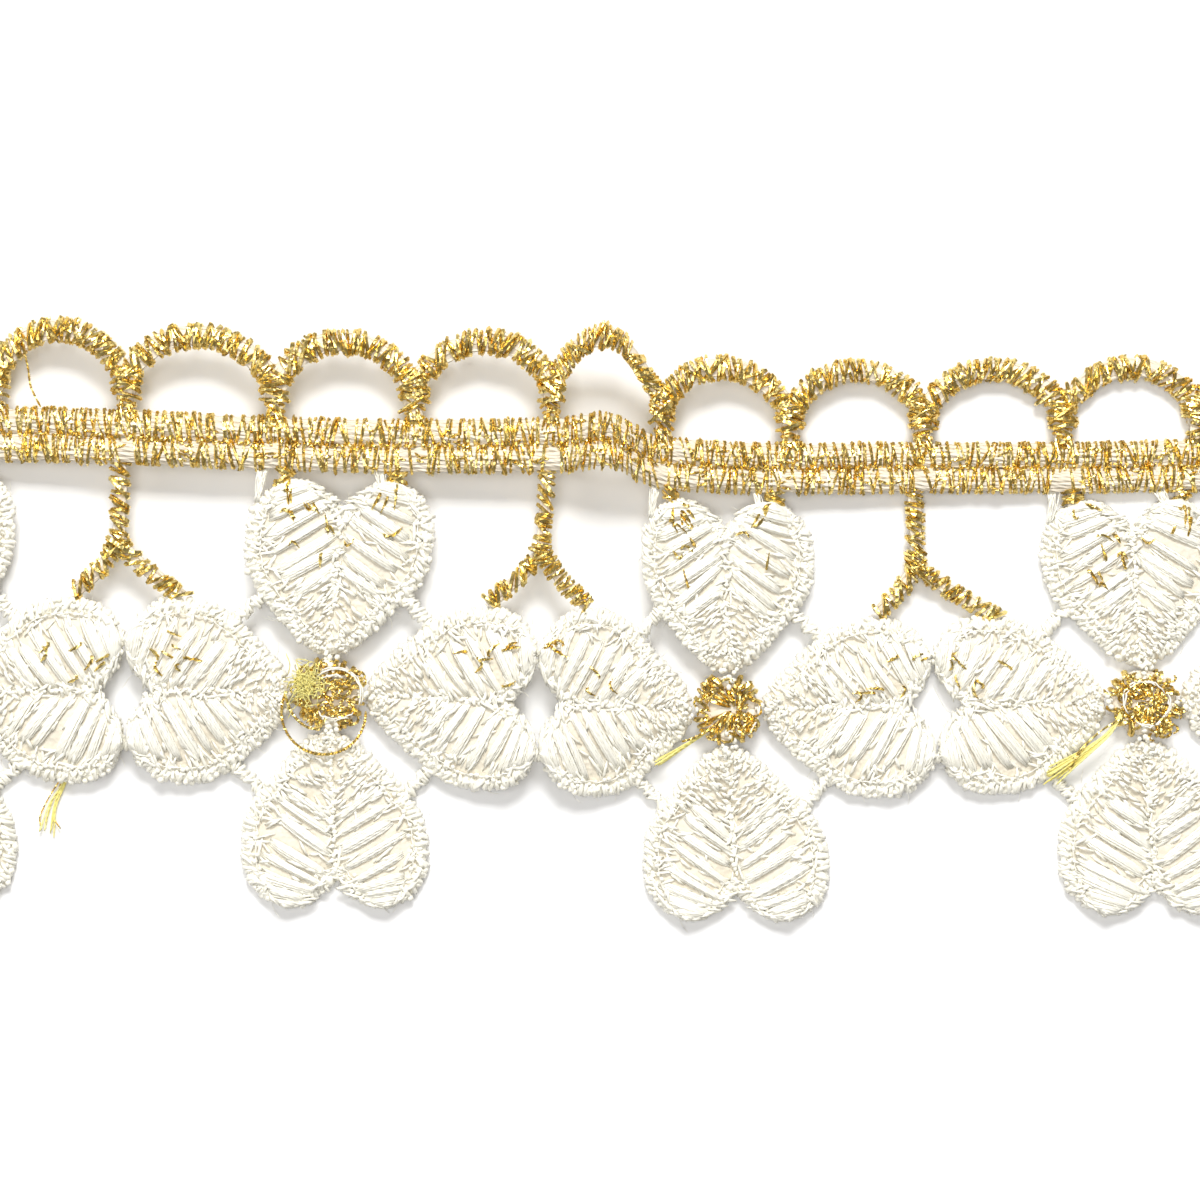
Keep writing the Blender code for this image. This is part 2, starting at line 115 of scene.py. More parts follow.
# How far the header runs past its outer necks, and its two overcast rows
HEADER_END = 1.6
ROW_OFFSET = 0.95
ROW_WIDTH = 2.0
ROW_THICKNESS = 1.42
ROW_TOP = 1.36
# A loop rises from its feet to its spring line, then in an arc that is partly peaked
LOOP_CORD = 1.75
LOOP_THICKNESS = 1.35
LOOP_INSET = 0.25
LOOP_FOOT = 3.6
LOOP_SPRING = 4.45
LOOP_RISE = 3.15
LOOP_PEAKED = 0.6
LOOP_PEAK_POWER = 2.2
# The neck between two loops: a narrow waist on the header, and a knot where they meet
WAIST_WIDTH = 1.3
WAIST_SPAN = (1.4, 3.3)
KNOT_WIDTH = 2.0
KNOT_THICKNESS = 1.6
KNOT_SPAN = (3.1, 5.0)
BAR_CORD = 1.25
BAR_THICKNESS = 1.0
FORK = -8.1
FORKED_BARS = rows_of(
    "post offset prong_ends",
    (0, -0.3, ((4.9, -11.6),)),
    (3, -0.5, ((-3.4, -11.5), (4.9, -11.7))),
    (6, -0.4, ((-4.0, -11.6), (4.5, -11.8))),
    (9, -0.7, ((-3.4, -11.6), (6.2, -12.0))),
    (12, 0.2, ((-3.8, -11.5),)),
)
TIE_OFFSETS = (-4.6, 4.1)
TIE_SPAN = (-1.7, -2.9)
# Slack ivory threads from the header to the top petal: offsets from the flower's middle
STRANDS = rows_of(
    "from_along to_along to_across",
    (-6.1, -6.5, -4.4),
    (2.5, 2.9, -3.3),
)
STRAND_THREADS = 14
# How far from a neck's middle the header's lower row is left almost bare, and how bare
BARE_REACH = 0.6
BARE_CHANCE = 0.85
# Degrees round its cord through which one winding runs, from under it to under it
WRAP = (-88, 268)
FLOWER_LINE = -18.9
TIP_RADIUS = 3.1
CENTRE_RADIUS = 2.75

PETALS = rows_of(
    "points_to length half_width",
    (90, 13.1, 7.1),
    (180, 12.8, 6.9),
    (270, 13.3, 7.2),
    (0, 12.8, 6.9),
)
# Half of the heart in shares of its length and half width: its outer side from the tip to
# the top of the lobe, and its inner side from the tip along the vein, the notch and the lobe
HEART_OUTER = (
    (0.00, 0.10),
    (0.07, 0.32),
    (0.21, 0.58),
    (0.35, 0.80),
    (0.48, 0.95),
    (0.65, 1.00),
    (0.81, 0.97),
    (0.93, 0.82),
    (1.00, 0.56),
)
HEART_INNER = ((0.00, 0.00), (0.40, 0.00), (0.80, 0.00), (0.92, 0.17), (0.985, 0.35), (1.00, 0.56))
# Under 1, a row lies a little further from the tip at the vein than along the edge
SLANT = 0.95
# Ends of the links between neighbouring petals, from the flower's middle; mirrored left to right
PETAL_LINKS = (((4.7, 8.3), (8.3, 4.7)), ((4.9, -8.3), (8.3, -4.9)))
NEIGHBOUR_TIES = {"reach": 0.75, "across": (-4.0, 4.0)}
# The satin: rows of the lobe that it fills, threads in one bundle, the shares of the way at which
# they begin and end, and how high they arch over the padding
BUNDLE_ROWS = (0.30, 0.97)
BUNDLE_THREADS = (4, 7)
BUNDLE_STARTS = (0.0, 0.09)
BUNDLE_ENDS = (0.70, 0.84)
BUNDLE_ARCH = 0.32
# The part of a petal's half width that a lobe has on average
MEAN_WIDTH = 0.85
# Short stitches on each lobe: how many, where, and the degrees they turn from the satin's slant
SHORT_STITCHES = rows_of(
    "count rows shares turn spread lift",
    (84, (0.02, 0.37), (0.0, 0.85), 0, 10, 0.08),
    (26, (0.20, 0.97), (-0.02, 0.10), 60, 30, 0.08),
    (44, (0.20, 0.97), (0.70, 0.90), 15, 35, 0.06),
    (60, (0.30, 0.97), (0.08, 0.82), 0, 22, -0.02),
)
# Where ends of the gold pass show between the satin bundles, and how high they stand
FLECK_ROWS = (0.42, 0.86)
FLECK_SHARES = (0.12, 0.62)
FLECK_LIFT = 0.33
# Lobes in which they do, by the way the petal points and the lobe's side of the vein
FLECKED_LOBES = rows_of(
    "points_to half count",
    (90, 1, 12),
    (90, -1, 6),
    (0, 1, 7),
    (180, -1, 7),
)
# Across half a petal from the vein to the edge: the share of the way, and the padding's height
PETAL_SECTION = rows_of(
    "share height",
    (0.00, 0.80),
    (0.14, 1.05),
    (0.50, 1.20),
    (0.80, 0.90),
    (0.92, 0.80),
    (1.00, 0.45),
)
# Knots of a petal's edge: how far inside the outline they run, in millimetres and in widths of
# the edge, and how they lie
EDGE_KNOTS = rows_of(
    "inset widths pitch heights size sway",
    (0.08, 0.0, 0.50, (0.40, 0.80), (0.46, 0.64), 0.10),
    (0.0, 0.5, 0.50, (0.88, 1.05), (0.34, 0.50), 0.12),
    (0.0, 1.0, 0.55, (0.98, 1.15), (0.34, 0.50), 0.12),
)

# The buttons, from the first flower to the last: whether their stitches fan out, how far their
# rim reaches, how high the ivory arcs run over them, loose curls on top, and the arcs
CENTRES = (
    {
        "fans": True, "reach": 2.4, "over": 1.5, "curls": 4,
        "arcs": arcs_of(
            (1.9, 20, 150, (0.1, 0.1)),
        ),
    },
    {
        "fans": False, "reach": 2.7, "over": 1.68, "curls": 44,
        "arcs": arcs_of(
            (1.95, -20, 130, (0.6, 0.0)),
            (1.5, 50, 140, (0.5, 0.0)),
            (1.95, 235, 320, (0.6, 0.0)),
        ),
    },
    {
        "fans": True, "reach": 2.4, "over": 1.5, "curls": 3,
        "arcs": arcs_of(
            (2.35, -55, 10, (0.1, 0.0)),
        ),
    },
    {
        "fans": True, "reach": 2.85, "over": 1.55, "curls": 24,
        "arcs": arcs_of(
            (1.75, 30, 215, (0.0, 0.1)),
            (1.8, 235, 370, (0.1, 0.0)),
        ),
    },
)
RIM_CURLS = 24
# Stitches that fan out from a spot right of a button's middle: angles and how many
FANS = rows_of(
    "low high count",
    (5, 150, 15),
    (205, 345, 13),
)
FAN_HEART = 0.55
# Ivory knots between a petal's tip and the button
TIP_KNOTS = rows_of(
    "angle reach count",
    (90, 1.7, 16),
    (270, 1.7, 16),
    (0, 2.4, 6),
    (180, 2.4, 6),
)
# Loose ends as they lie, from the lay tables' own origin
SLACK_LOOP = {"x": -21.45, "y": -6.63, "radius": 3.28, "start": 150, "end": 362}
FLUFF = {"x": -22.75, "y": -4.3, "rise": 2.75, "reach": 0.7, "fibres": 150}
THREAD_STEPS = 40
LOOSE_THREADS = (
    {
        "gold": True, "strands": 1, "fray": 0.0, "width": 0.26,
        "rows": spots_of(
            (-24.4, -5.3, 2.7),
            (-23.9, -6.6, 2.5),
            (-22.9, -7.6, 2.3),
            (-21.7, -7.9, 2.2),
        ),
    },
    {
        "gold": True, "strands": 1, "fray": 0.0, "width": 0.2,
        "rows": spots_of(
            (-44.7, 21.6, 2.4),
            (-44.4, 20.0, 2.1),
            (-44.2, 18.6, 2.0),
            (-43.4, 17.0, 2.2),
        ),
    },
    {
        "gold": False, "strands": 9, "fray": 0.14, "width": 0.17,
        "rows": spots_of(
            (8.6, -7.9, 1.6),
            (7.4, -8.7, 2.0),
            (6.0, -9.6, 2.2),
            (4.5, -10.6, 1.9),
        ),
    },
    {
        "gold": True, "strands": 2, "fray": 0.1, "width": 0.2,
        "rows": spots_of(
            (9.2, -7.4, 1.9),
            (8.2, -8.1, 2.0),
            (7.3, -8.6, 2.2),
            (6.4, -8.9, 2.2),
        ),
    },
    {
        "gold": False, "strands": 24, "fray": 0.4, "width": 0.17,
        "rows": spots_of(
            (40.6, -6.6, 1.7),
            (39.6, -8.2, 1.9),
            (37.8, -9.7, 1.9),
            (35.3, -11.6, 1.2),
        ),
    },
    {
        "gold": True, "strands": 2, "fray": 0.2, "width": 0.18,
        "rows": spots_of(
            (40.9, -6.9, 1.9),
            (39.0, -8.0, 2.1),
            (37.4, -9.4, 2.1),
            (36.2, -11.2, 1.6),
        ),
    },
    {
        "gold": False, "strands": 10, "fray": 0.38, "width": 0.13,
        "rows": spots_of(
            (-41.2, -10.4, 0.5),
            (-41.9, -12.2, 0.4),
            (-42.8, -13.8, 0.35),
            (-43.3, -15.9, 0.3),
        ),
    },
    {
        "gold": True, "strands": 2, "fray": 0.35, "width": 0.15,
        "rows": spots_of(
            (-41.2, -10.6, 0.5),
            (-42.4, -12.6, 0.4),
            (-43.0, -14.6, 0.3),
            (-42.6, -15.6, 0.3),
        ),
    },
)

# How the braid lies, as in the solids: levels across the flat braid, and where each of three of
# them lies. Posts are counted from the left cut end, one for each loop; x and y are where the spot
# lies and rise is how far its back is off the surface.
LOOP_TOP_LEVEL = 9.0
HEM_START_LEVEL = -29.0
HEM_LEVEL = -35.3
HEADER_LAY = rows_of(
    "post x y rise loop_stretch",
    (0.0, -68.3, 14.6, 0.00, 1.03),
    (0.7, -60.8, 14.8, 0.00, 1.05),
    (2.0, -47.0, 15.0, 1.20, 1.08),
    (3.0, -36.7, 14.7, 2.00, 1.07),
    (4.0, -25.2, 14.2, 2.20, 1.06),
    (5.0, -14.4, 14.0, 1.80, 1.06),
    (6.0, -3.7, 14.1, 2.40, 1.06),
    (6.5, 0.5, 14.4, 4.20, 1.05),
    (7.0, 4.8, 12.7, 2.20, 1.03),
    (8.0, 14.8, 12.3, 0.90, 1.00),
    (9.0, 25.2, 12.4, 0.45, 1.00),
    (10.0, 36.1, 12.4, 0.15, 1.02),
    (11.0, 46.6, 12.6, 0.00, 1.03),
    (12.0, 57.3, 12.7, 0.00, 1.03),
)
FLOWER_LAY = rows_of(
    "post x y rise",
    (0.0, -69.5, -5.0, 0.20),
    (1.5, -53.4, -5.1, 0.50),
    (3.0, -37.0, -5.0, 1.10),
    (4.5, -21.1, -5.2, 0.80),
    (6.0, -4.9, -5.9, 1.60),
    (7.5, 9.9, -6.4, 0.80),
    (9.0, 26.1, -6.1, 0.45),
    (10.5, 42.4, -5.9, 0.20),
    (12.0, 58.5, -5.8, 0.00),
)
HEM_LAY = rows_of(
    "post x y rise",
    (0.0, -68.9, -21.6, 0.00),
    (0.8, -60.3, -21.6, 0.00),
    (2.2, -45.3, -21.6, 0.00),
    (3.0, -36.5, -21.7, 0.50),
    (3.8, -28.1, -21.8, 0.00),
    (5.2, -13.1, -21.9, 0.00),
    (6.0, -4.6, -22.3, 1.30),
    (6.8, 3.3, -22.8, 0.00),
    (8.2, 18.3, -22.9, 0.00),
    (9.0, 27.1, -22.6, 0.35),
    (9.8, 35.9, -22.4, 0.00),
    (11.2, 50.9, -22.4, 0.00),
    (12.0, 59.4, -22.4, 0.00),
)


def smooth_between(stations, values, at):
    """A smooth curve through the values at the stations, which never swings past them."""
    stations = np.asarray(stations, float)
    values = np.asarray(values, float)
    if values.ndim == 1:
        values = np.repeat(values[:, None], len(at), axis=1)
    widths = np.diff(stations)[:, None]
    grades = np.diff(values, axis=0) / widths
    slopes = np.zeros_like(values)
    slopes[0], slopes[-1] = grades[0], grades[-1]
    before, after = grades[:-1], grades[1:]
    together = before * after > 0
    inner = np.zeros_like(before)
    inner[together] = 2 * before[together] * after[together] / (before[together] + after[together])
    slopes[1:-1] = inner
    spot = np.clip(np.searchsorted(stations, at, side="right") - 1, 0, len(stations) - 2)
    column = np.arange(len(at))
    width = widths[spot, 0]
    way = (at - stations[spot]) / width
    beyond = np.where(way < 0, way, np.where(way > 1, way - 1, 0))
    way = np.clip(way, 0, 1)
    low, high = values[spot, column], values[spot + 1, column]
    low_slope, high_slope = slopes[spot, column], slopes[spot + 1, column]
    curve = (
        low * (1 + 2 * way) * (1 - way) ** 2
        + high * way**2 * (3 - 2 * way)
        + width * way * (1 - way) * (low_slope * (1 - way) - high_slope * way)
    )
    return curve + beyond * width * np.where(beyond < 0, low_slope, high_slope)


def lay_columns(table, post):
    """The columns of one lay table after its posts, read at these posts."""
    stations, *columns = zip(*(row.values() for row in table))
    return [smooth_between(stations, column, post) for column in columns]


def lay_flat_points(points):
    """Where points of the flat braid lie, in millimetres, before the shift to the part's origin."""
    along, across, up = points.T
    post = along / LOOP_PITCH
    head_x, head_y, head_rise, stretch = lay_columns(HEADER_LAY, post)
    mid_x, mid_y, mid_rise = lay_columns(FLOWER_LAY, post)
    hem_x, hem_y, hem_rise = lay_columns(HEM_LAY, post)
    down = (HEM_START_LEVEL - FLOWER_LINE) / (HEM_LEVEL - FLOWER_LINE)
    levels = (HEM_LEVEL, HEM_START_LEVEL, FLOWER_LINE, 0.0, LOOP_TOP_LEVEL)
    loop_top_y = head_y + stretch * LOOP_TOP_LEVEL
    x_at = (hem_x, mid_x + down * (hem_x - mid_x), mid_x, head_x, head_x)
    y_at = (hem_y, mid_y + down * (hem_y - mid_y), mid_y, head_y, loop_top_y)
    rise_at = (hem_rise, hem_rise, mid_rise, head_rise, head_rise)
    x = smooth_between(levels, x_at, across)
    y = smooth_between(levels, y_at, across)
    z = np.maximum(smooth_between(levels, rise_at, across), 0.0) + up
    return np.stack([x, y, z], axis=1)


def part_origin():
    """From the lay tables' own origin to the part's, read off the solid of one centre."""
    low, high = (np.array(corner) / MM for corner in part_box("gold_centre_2"))
    turn = np.linspace(0, 2 * math.pi, 18, endpoint=False)
    ring = np.stack([CENTRE_RADIUS * np.cos(turn), CENTRE_RADIUS * np.sin(turn), 0 * turn], axis=1)
    ring += (1.5 * FLOWER_PITCH, FLOWER_LINE, 0.0)
    there = lay_flat_points(ring)
    middle = (there.min(axis=0) + there.max(axis=0)) / 2
    return np.array([*((low + high) / 2 - middle)[:2], 0.0])


ORIGIN = part_origin()


def laid(points):
    """Where points of the flat braid lie in the part's own frame, in metres."""
    return (lay_flat_points(points) + ORIGIN) * MM


def spline_points(rows, count):
    """Points evenly spaced along a smooth curve through the rows, ends included."""
    rows = np.asarray(rows, float)
    padded = np.vstack([2 * rows[0] - rows[1], rows, 2 * rows[-1] - rows[-2]])
    fine = []
    for a, b, c, d in zip(padded, padded[1:], padded[2:], padded[3:]):
        for way in np.linspace(0, 1, 20, endpoint=False):
            bend = (2 * a - 5 * b + 4 * c - d) * way**2 + (3 * b - a - 3 * c + d) * way**3
            fine.append(b + 0.5 * ((c - a) * way + bend))
    fine.append(rows[-1])
    return spaced(np.array(fine), count)


def run_along(line):
    """How far along a line each of its points is."""
    return np.concatenate([[0], np.cumsum(np.linalg.norm(np.diff(line, axis=0), axis=1))])


def read_at(line, run, at):
    """A line's points at these places, where run says how far along it each of its own is."""
    return np.stack([np.interp(at, run, column) for column in line.T], axis=-1)


def spaced(line, count):
    """The line read again at evenly spaced points."""
    run = run_along(line)
    return read_at(line, run, np.linspace(0, run[-1], count))


def unit(vectors):
    return vectors / (np.linalg.norm(vectors, axis=-1, keepdims=True) + TINY)


def capped_belts(rings, spokes):
    """The four- and three-sided faces between a top point, rings of points and a last point."""
    here = np.arange(spokes)
    after = (here + 1) % spokes
    starts = 1 + np.arange(rings) * spokes
    belts = [
        np.stack([inner + here, outer + here, outer + after, inner + after], axis=1)
        for inner, outer in zip(starts, starts[1:])
    ]
    tops = np.stack([0 * here, 1 + here, 1 + after], axis=1)
    last = starts[-1]
    lows = np.stack([0 * here + last + spokes, last + after, last + here], axis=1)
    return np.vstack(belts), np.vstack([tops, lows])


class Skein:
    """Gathers threads and other shapes of the flat braid, to be laid and made into one mesh."""

    def __init__(self, seed):
        self.draw = np.random.default_rng(seed)
        self.points, self.shades, self.groups, self.total = [], [], [], 0

    def shape(self, points, faces, shade=0.5, turns=None):
        """Adds points, faces given as equal rows of corners, and each corner's turn and run."""
        points = np.asarray(points, float).reshape(-1, 3)
        self.points.append(points)
        self.shades.append(np.broadcast_to(np.asarray(shade, float), len(points)).copy())
        for index, rows in enumerate(faces):
            spots = np.zeros((*rows.shape, 2)) if turns is None else turns[index]
            self.groups.append((rows + self.total, spots))
        self.total += len(points)

    def threads(self, paths, width, thickness=None, sides=4, turns=0.0, side=None, taper=0.45):
        """Sweeps a flattened thread along each of the paths, which all have as many points.

        Turns is how often each twists on its way, and side is the level direction of its width.
        """
        paths = np.asarray(paths, float)
        count, steps, _ = paths.shape
        thickness = width if thickness is None else thickness
        direction = unit(np.gradient(paths, axis=1))
        side = np.cross(direction, UP) if side is None else np.broadcast_to(side, paths.shape)
        side = unit(side - direction * (side * direction).sum(axis=2, keepdims=True))
        over = np.cross(side, direction)
        ends = np.ones(steps)
        ends[0] = ends[-1] = taper
        half = np.broadcast_to(np.asarray(width, float).reshape(-1, 1), (count, 1)) / 2 * ends
        thin = np.broadcast_to(np.asarray(thickness, float).reshape(-1, 1), (count, 1)) / 2 * ends
        ring = (np.arange(sides) + 0.5) * TURN / sides
        start = self.draw.uniform(0, TURN, (count, 1)) if np.any(turns) else 0.0
        spin = start + np.asarray(turns, float).reshape(-1, 1) * TURN * np.linspace(0, 1, steps)
        spin = np.broadcast_to(spin, (count, steps))
        flat = half[..., None] * np.cos(ring)
        tall = thin[..., None] * np.sin(ring)
        x = flat * np.cos(spin)[..., None] - tall * np.sin(spin)[..., None]
        z = flat * np.sin(spin)[..., None] + tall * np.cos(spin)[..., None]
        skin = paths[:, :, None] + side[:, :, None] * x[..., None] + over[:, :, None] * z[..., None]
        base = (np.arange(count) * steps * sides)[:, None, None]
        row = (np.arange(steps - 1) * sides)[None, :, None]
        here, there = np.arange(sides)[None, None], ((np.arange(sides) + 1) % sides)[None, None]
        low, high = base + row, base + row + sides
        corners = np.broadcast_arrays(low + here, high + here, high + there, low + there)
        quads = np.stack(corners, axis=-1).reshape(-1, 4)
        gaps = np.linalg.norm(np.diff(paths, axis=1), axis=2)
        run = np.concatenate([np.zeros((count, 1)), np.cumsum(gaps, axis=1)], axis=1)
        run = (run + self.draw.uniform(0, 9, (count, 1)))[:, :, None]
        near, far = np.broadcast_arrays(run[:, :-1], run[:, 1:])
        part = np.broadcast_to(here / sides, (count, steps - 1, sides))
        more = part + 1 / sides
        wide = np.broadcast_to(near, part.shape), np.broadcast_to(far, part.shape)
        spots = [(part, wide[0]), (part, wide[1]), (more, wide[1]), (more, wide[0])]
        spots = np.stack([np.stack(pair, axis=-1) for pair in spots], axis=-2).reshape(-1, 4, 2)
        first = base[:, 0] + np.arange(sides)[None]
        last = base[:, 0] + (steps - 1) * sides + np.arange(sides)[::-1][None]
        shade = self.draw.uniform(0, 1, count)
        caps = np.zeros((count, sides, 2))
        self.shape(skin, (quads, first, last), np.repeat(shade, steps * sides), (spots, caps, caps))

    def strand(self, path, widths, turns, thickness=0.2):
        """Adds one thread, its width and twist drawn from these spans."""
        width = self.draw.uniform(*widths)
        self.threads(path[None], width, thickness, turns=self.draw.uniform(*turns))

    def beads(self, spots, size, rings=3, spokes=6):
        """Adds a small lumpy knot at each spot; size has one row of three for each."""
        spots = np.asarray(spots, float)
        size = np.broadcast_to(np.asarray(size, float), spots.shape)
        polar = np.linspace(0, math.pi, rings + 2)[1:-1, None]
        azimuth = np.arange(spokes) * TURN / spokes
        around = np.stack([
            np.sin(polar) * np.cos(azimuth), np.sin(polar) * np.sin(azimuth),
            np.broadcast_to(np.cos(polar), (rings, spokes)),
        ], axis=-1)
        ball = np.array([(0, 0, 1), *around.reshape(-1, 3), (0, 0, -1)])
        lumps = 1 + self.draw.normal(0, 0.07, (len(spots), len(ball), 1))
        turn = self.draw.uniform(0, TURN, len(spots))
        cos, sin = np.cos(turn)[:, None], np.sin(turn)[:, None]
        x, y, z = np.moveaxis(ball[None] * lumps, -1, 0)
        body = np.stack([x * cos - y * sin, x * sin + y * cos, z], axis=-1)
        points = spots[:, None] + body * size[:, None] / 2
        wide, thin = capped_belts(rings, spokes)
        base = (np.arange(len(spots)) * len(ball))[:, None, None]
        faces = (wide[None] + base).reshape(-1, 4), (thin[None] + base).reshape(-1, 3)
        self.shape(points, faces, np.repeat(self.draw.uniform(0, 1, len(spots)), len(ball)))

    def make(self, name, look, *nodes, in_place=False):
        """Makes what was gathered the one piece of that name, laid unless it already lies in place.

        The piece rides on the braid and stands for the nodes named.
        """
        flat = np.concatenate(self.points)
        flat[:, 2] = np.maximum(flat[:, 2], FLOOR_GAP)
        points = (flat + ORIGIN) * MM if in_place else laid(flat)
        mesh = bpy.data.meshes.new(name)
        mesh.vertices.add(len(points))
        mesh.vertices.foreach_set("co", points.astype(np.float32).ravel())
        corners = np.concatenate([rows.ravel() for rows, _ in self.groups])
        lengths = np.concatenate([np.full(len(rows), rows.shape[1]) for rows, _ in self.groups])
        mesh.loops.add(len(corners))
        mesh.loops.foreach_set("vertex_index", corners.astype(np.int32))
        mesh.polygons.add(len(lengths))
        mesh.polygons.foreach_set("loop_start", (np.cumsum(lengths) - lengths).astype(np.int32))
        mesh.polygons.foreach_set("use_smooth", np.full(len(lengths), FINISHES[look]["smooth"]))
        spots = np.concatenate([turns.reshape(-1, 2) for _, turns in self.groups])
        mesh.uv_layers.new(name="thread").uv.foreach_set("vector", spots.astype(np.float32).ravel())
        shade = mesh.attributes.new("shade", "FLOAT", "POINT")
        shade.data.foreach_set("value", np.concatenate(self.shades).astype(np.float32))
        mesh.update(calc_edges=True)
        mesh.validate()
        mesh.materials.append(looks()[look])
        made = bpy.data.objects.new(name, mesh)
        bpy.context.scene.collection.objects.link(made)
        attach(made, "root")
        if nodes:
            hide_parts(*nodes)
        return made


class Link:
    """One output of a node, or none yet, with the arithmetic that adds Math nodes to its tree."""

    def __init__(self, tree, socket=None):
        self.tree, self.socket = tree, socket

    def node(self, kind, settings=None, sockets=None, output=0):
        """Adds a node: its settings are set first, then its sockets are given values or links."""
        made = self.tree.nodes.new(kind)
        for name, value in (settings or {}).items():
            setattr(made, name, value)
        for name, value in (sockets or {}).items():
            if isinstance(value, Link):
                self.tree.links.new(value.socket, made.inputs[name])
            else:
                made.inputs[name].default_value = value
        return Link(self.tree, made.outputs[output])

    def math(self, operation, *values):
        return self.node("ShaderNodeMath", {"operation": operation}, dict(enumerate(values)))

    def __add__(self, other):
        return self.math("ADD", self, other)

    __radd__ = __add__

    def __mul__(self, other):
        return self.math("MULTIPLY", self, other)

    __rmul__ = __mul__

    def __sub__(self, other):
        return self.math("SUBTRACT", self, other)

    def __rsub__(self, other):
        return self.math("SUBTRACT", other, self)

    def wave(self):
        """The sine of this many whole turns."""
        return self.math("SINE", self * TURN)

    def within(self, low, high):
        """This value, read as a share of the way from low to high and held between 0 and 1."""
        sockets = {"Value": self, "From Min": low, "From Max": high}
        return self.node("ShaderNodeMapRange", {"clamp": True}, sockets)

    def colour(self, first, second):
        """A colour this share of the way from the first to the second."""
        sockets = {"Factor": self, 6: first, 7: second}
        return self.node("ShaderNodeMix", {"data_type": "RGBA"}, sockets, 2)


def rgba(colour):
    return (*colour, 1.0)


def finished(name, build):
    """A material whose shader gets the sockets that build gives for a link to its tree."""
    made = bpy.data.materials.new(name)
    made.use_nodes = True
    tree = made.node_tree
    shader = tree.nodes["Principled BSDF"]
    for socket, value in build(Link(tree)).items():
        if isinstance(value, Link):
            tree.links.new(value.socket, shader.inputs[socket])
        else:
            shader.inputs[socket].default_value = value
    return made


def noise(start, scale, detail=2.0, roughness=0.5):
    place = start.node("ShaderNodeTexCoord", output="Object")
    sockets = {"Vector": place, "Scale": scale, "Detail": detail, "Roughness": roughness}
    return start.node("ShaderNodeTexNoise", {"noise_dimensions": "3D"}, sockets)


def thread_spot(start):
    """A thread's turn round itself from 0 to 1, and the run along it in millimetres."""
    spot = start.node("ShaderNodeUVMap", {"uv_map": "thread"})
    turn = start.node("ShaderNodeSeparateXYZ", sockets={"Vector": spot})
    run = start.node("ShaderNodeSeparateXYZ", sockets={"Vector": spot}, output=1)
    return turn, run


def shade_of(start):
    return start.node("ShaderNodeAttribute", {"attribute_name": "shade"}, output="Fac")


def bumped(start, height, distance, strength):
    sockets = {"Height": height, "Distance": distance, "Strength": strength}
    return start.node("ShaderNodeBump", sockets=sockets)


def gold_look(colours):
    """Metallised film wound round a fine core: glints that turn with the film."""

    def build(start):
        turn, run = thread_spot(start)
        shade = shade_of(start)
        film = (turn + run * 2.1).wave()
        cloudy = noise(start, 2600.0)
        # Painted highlight and painted shade: the film's colour is mixed at random between lit gold
        # and gold in shade
        way = (shade * 0.55 + cloudy * 0.9 - 0.3).within(0.0, 1.0)
        body = way.colour(rgba(colours.gold_painted_shade), rgba(colours.gold_painted_lit))
        height = film * 0.5 + noise(start, 9000.0, 1.0) * 0.7
        return {
            "Base Color": body,
            "Metallic": 1.0,
            "Roughness": cloudy * 0.2 + 0.18,
            "Normal": bumped(start, height, 0.00003, 0.5),
        }

    return finished("gold_metal_film", build)


def padding_look(colours):
    """The beige cotton that the gold is wound over."""

    def build(start):
        turn, run = thread_spot(start)
        fibres = (turn * 5.0 + run * 0.9).wave()
        fluff = noise(start, 3000.0, 4.0, 0.7)
        # Painted shade: the colour is mixed at random towards darker cotton that stands for padding
        # deeper down
        way = (fluff * 0.9 + shade_of(start) * 0.35 - 0.15).within(0.0, 1.0)
        return {
            "Base Color": way.colour(rgba(colours.padding_painted_shade), rgba(colours.padding)),
            "Roughness": 0.75,
            "Sheen Weight": 0.15,
            "Normal": bumped(start, fibres * 0.4 + fluff, 0.00006, 0.7),
        }

    return finished("beige_padding_cotton", build)


def ivory_look(colours, name, rough, gloss):
    """Silky ivory thread: fine twisted filaments along its run."""

    def build(start):
        turn, run = thread_spot(start)
        fibres = (turn * 3.0 + run * 1.4).wave()
        fluff = noise(start, 1700.0, 3.0, 0.6)
        # Painted shade: the thread's colour is mixed at random towards a creamier, duller ivory for
        # thread in shade
        way = (fluff * 0.7 + shade_of(start) * 0.5 - 0.05).within(0.0, 1.0)
        return {
            "Base Color": way.colour(rgba(colours.ivory_painted_shade), rgba(colours.ivory)),
            "Roughness": fluff * 0.2 + rough,
            "Specular IOR Level": gloss,
            "Sheen Weight": 0.25,
            "Sheen Roughness": 0.4,
            "Normal": bumped(start, fibres * 0.5 + fluff * 0.6, 0.00003, 0.6),
        }

    return finished(name, build)


def ground_look(colours):
    """The padding stitches under the satin, with painted shade for their hollows: darker where the
    noise and the cell borders fall.
    """

    def build(start):
        place = start.node("ShaderNodeTexCoord", output="Object")
        sockets = {"Vector": place, "Scale": 2600.0, "Randomness": 0.9}
        cells = start.node("ShaderNodeTexVoronoi", {"feature": "F1"}, sockets)
        broad = noise(start, 700.0, 3.0, 0.6)
        # Painted shade: darker padding where the noise is low and near the cell borders
        way = (broad * 1.5 - 0.4 - cells * 0.25).within(0.0, 1.0)
        return {
            "Base Color": way.colour(rgba(colours.ground_painted_shade), rgba(colours.ground)),
            "Roughness": 0.7,
            "Sheen Weight": 0.2,
            "Normal": bumped(start, broad + cells * 0.6, 0.00012, 0.9),
        }

    return finished("ivory_padding_stitches", build)


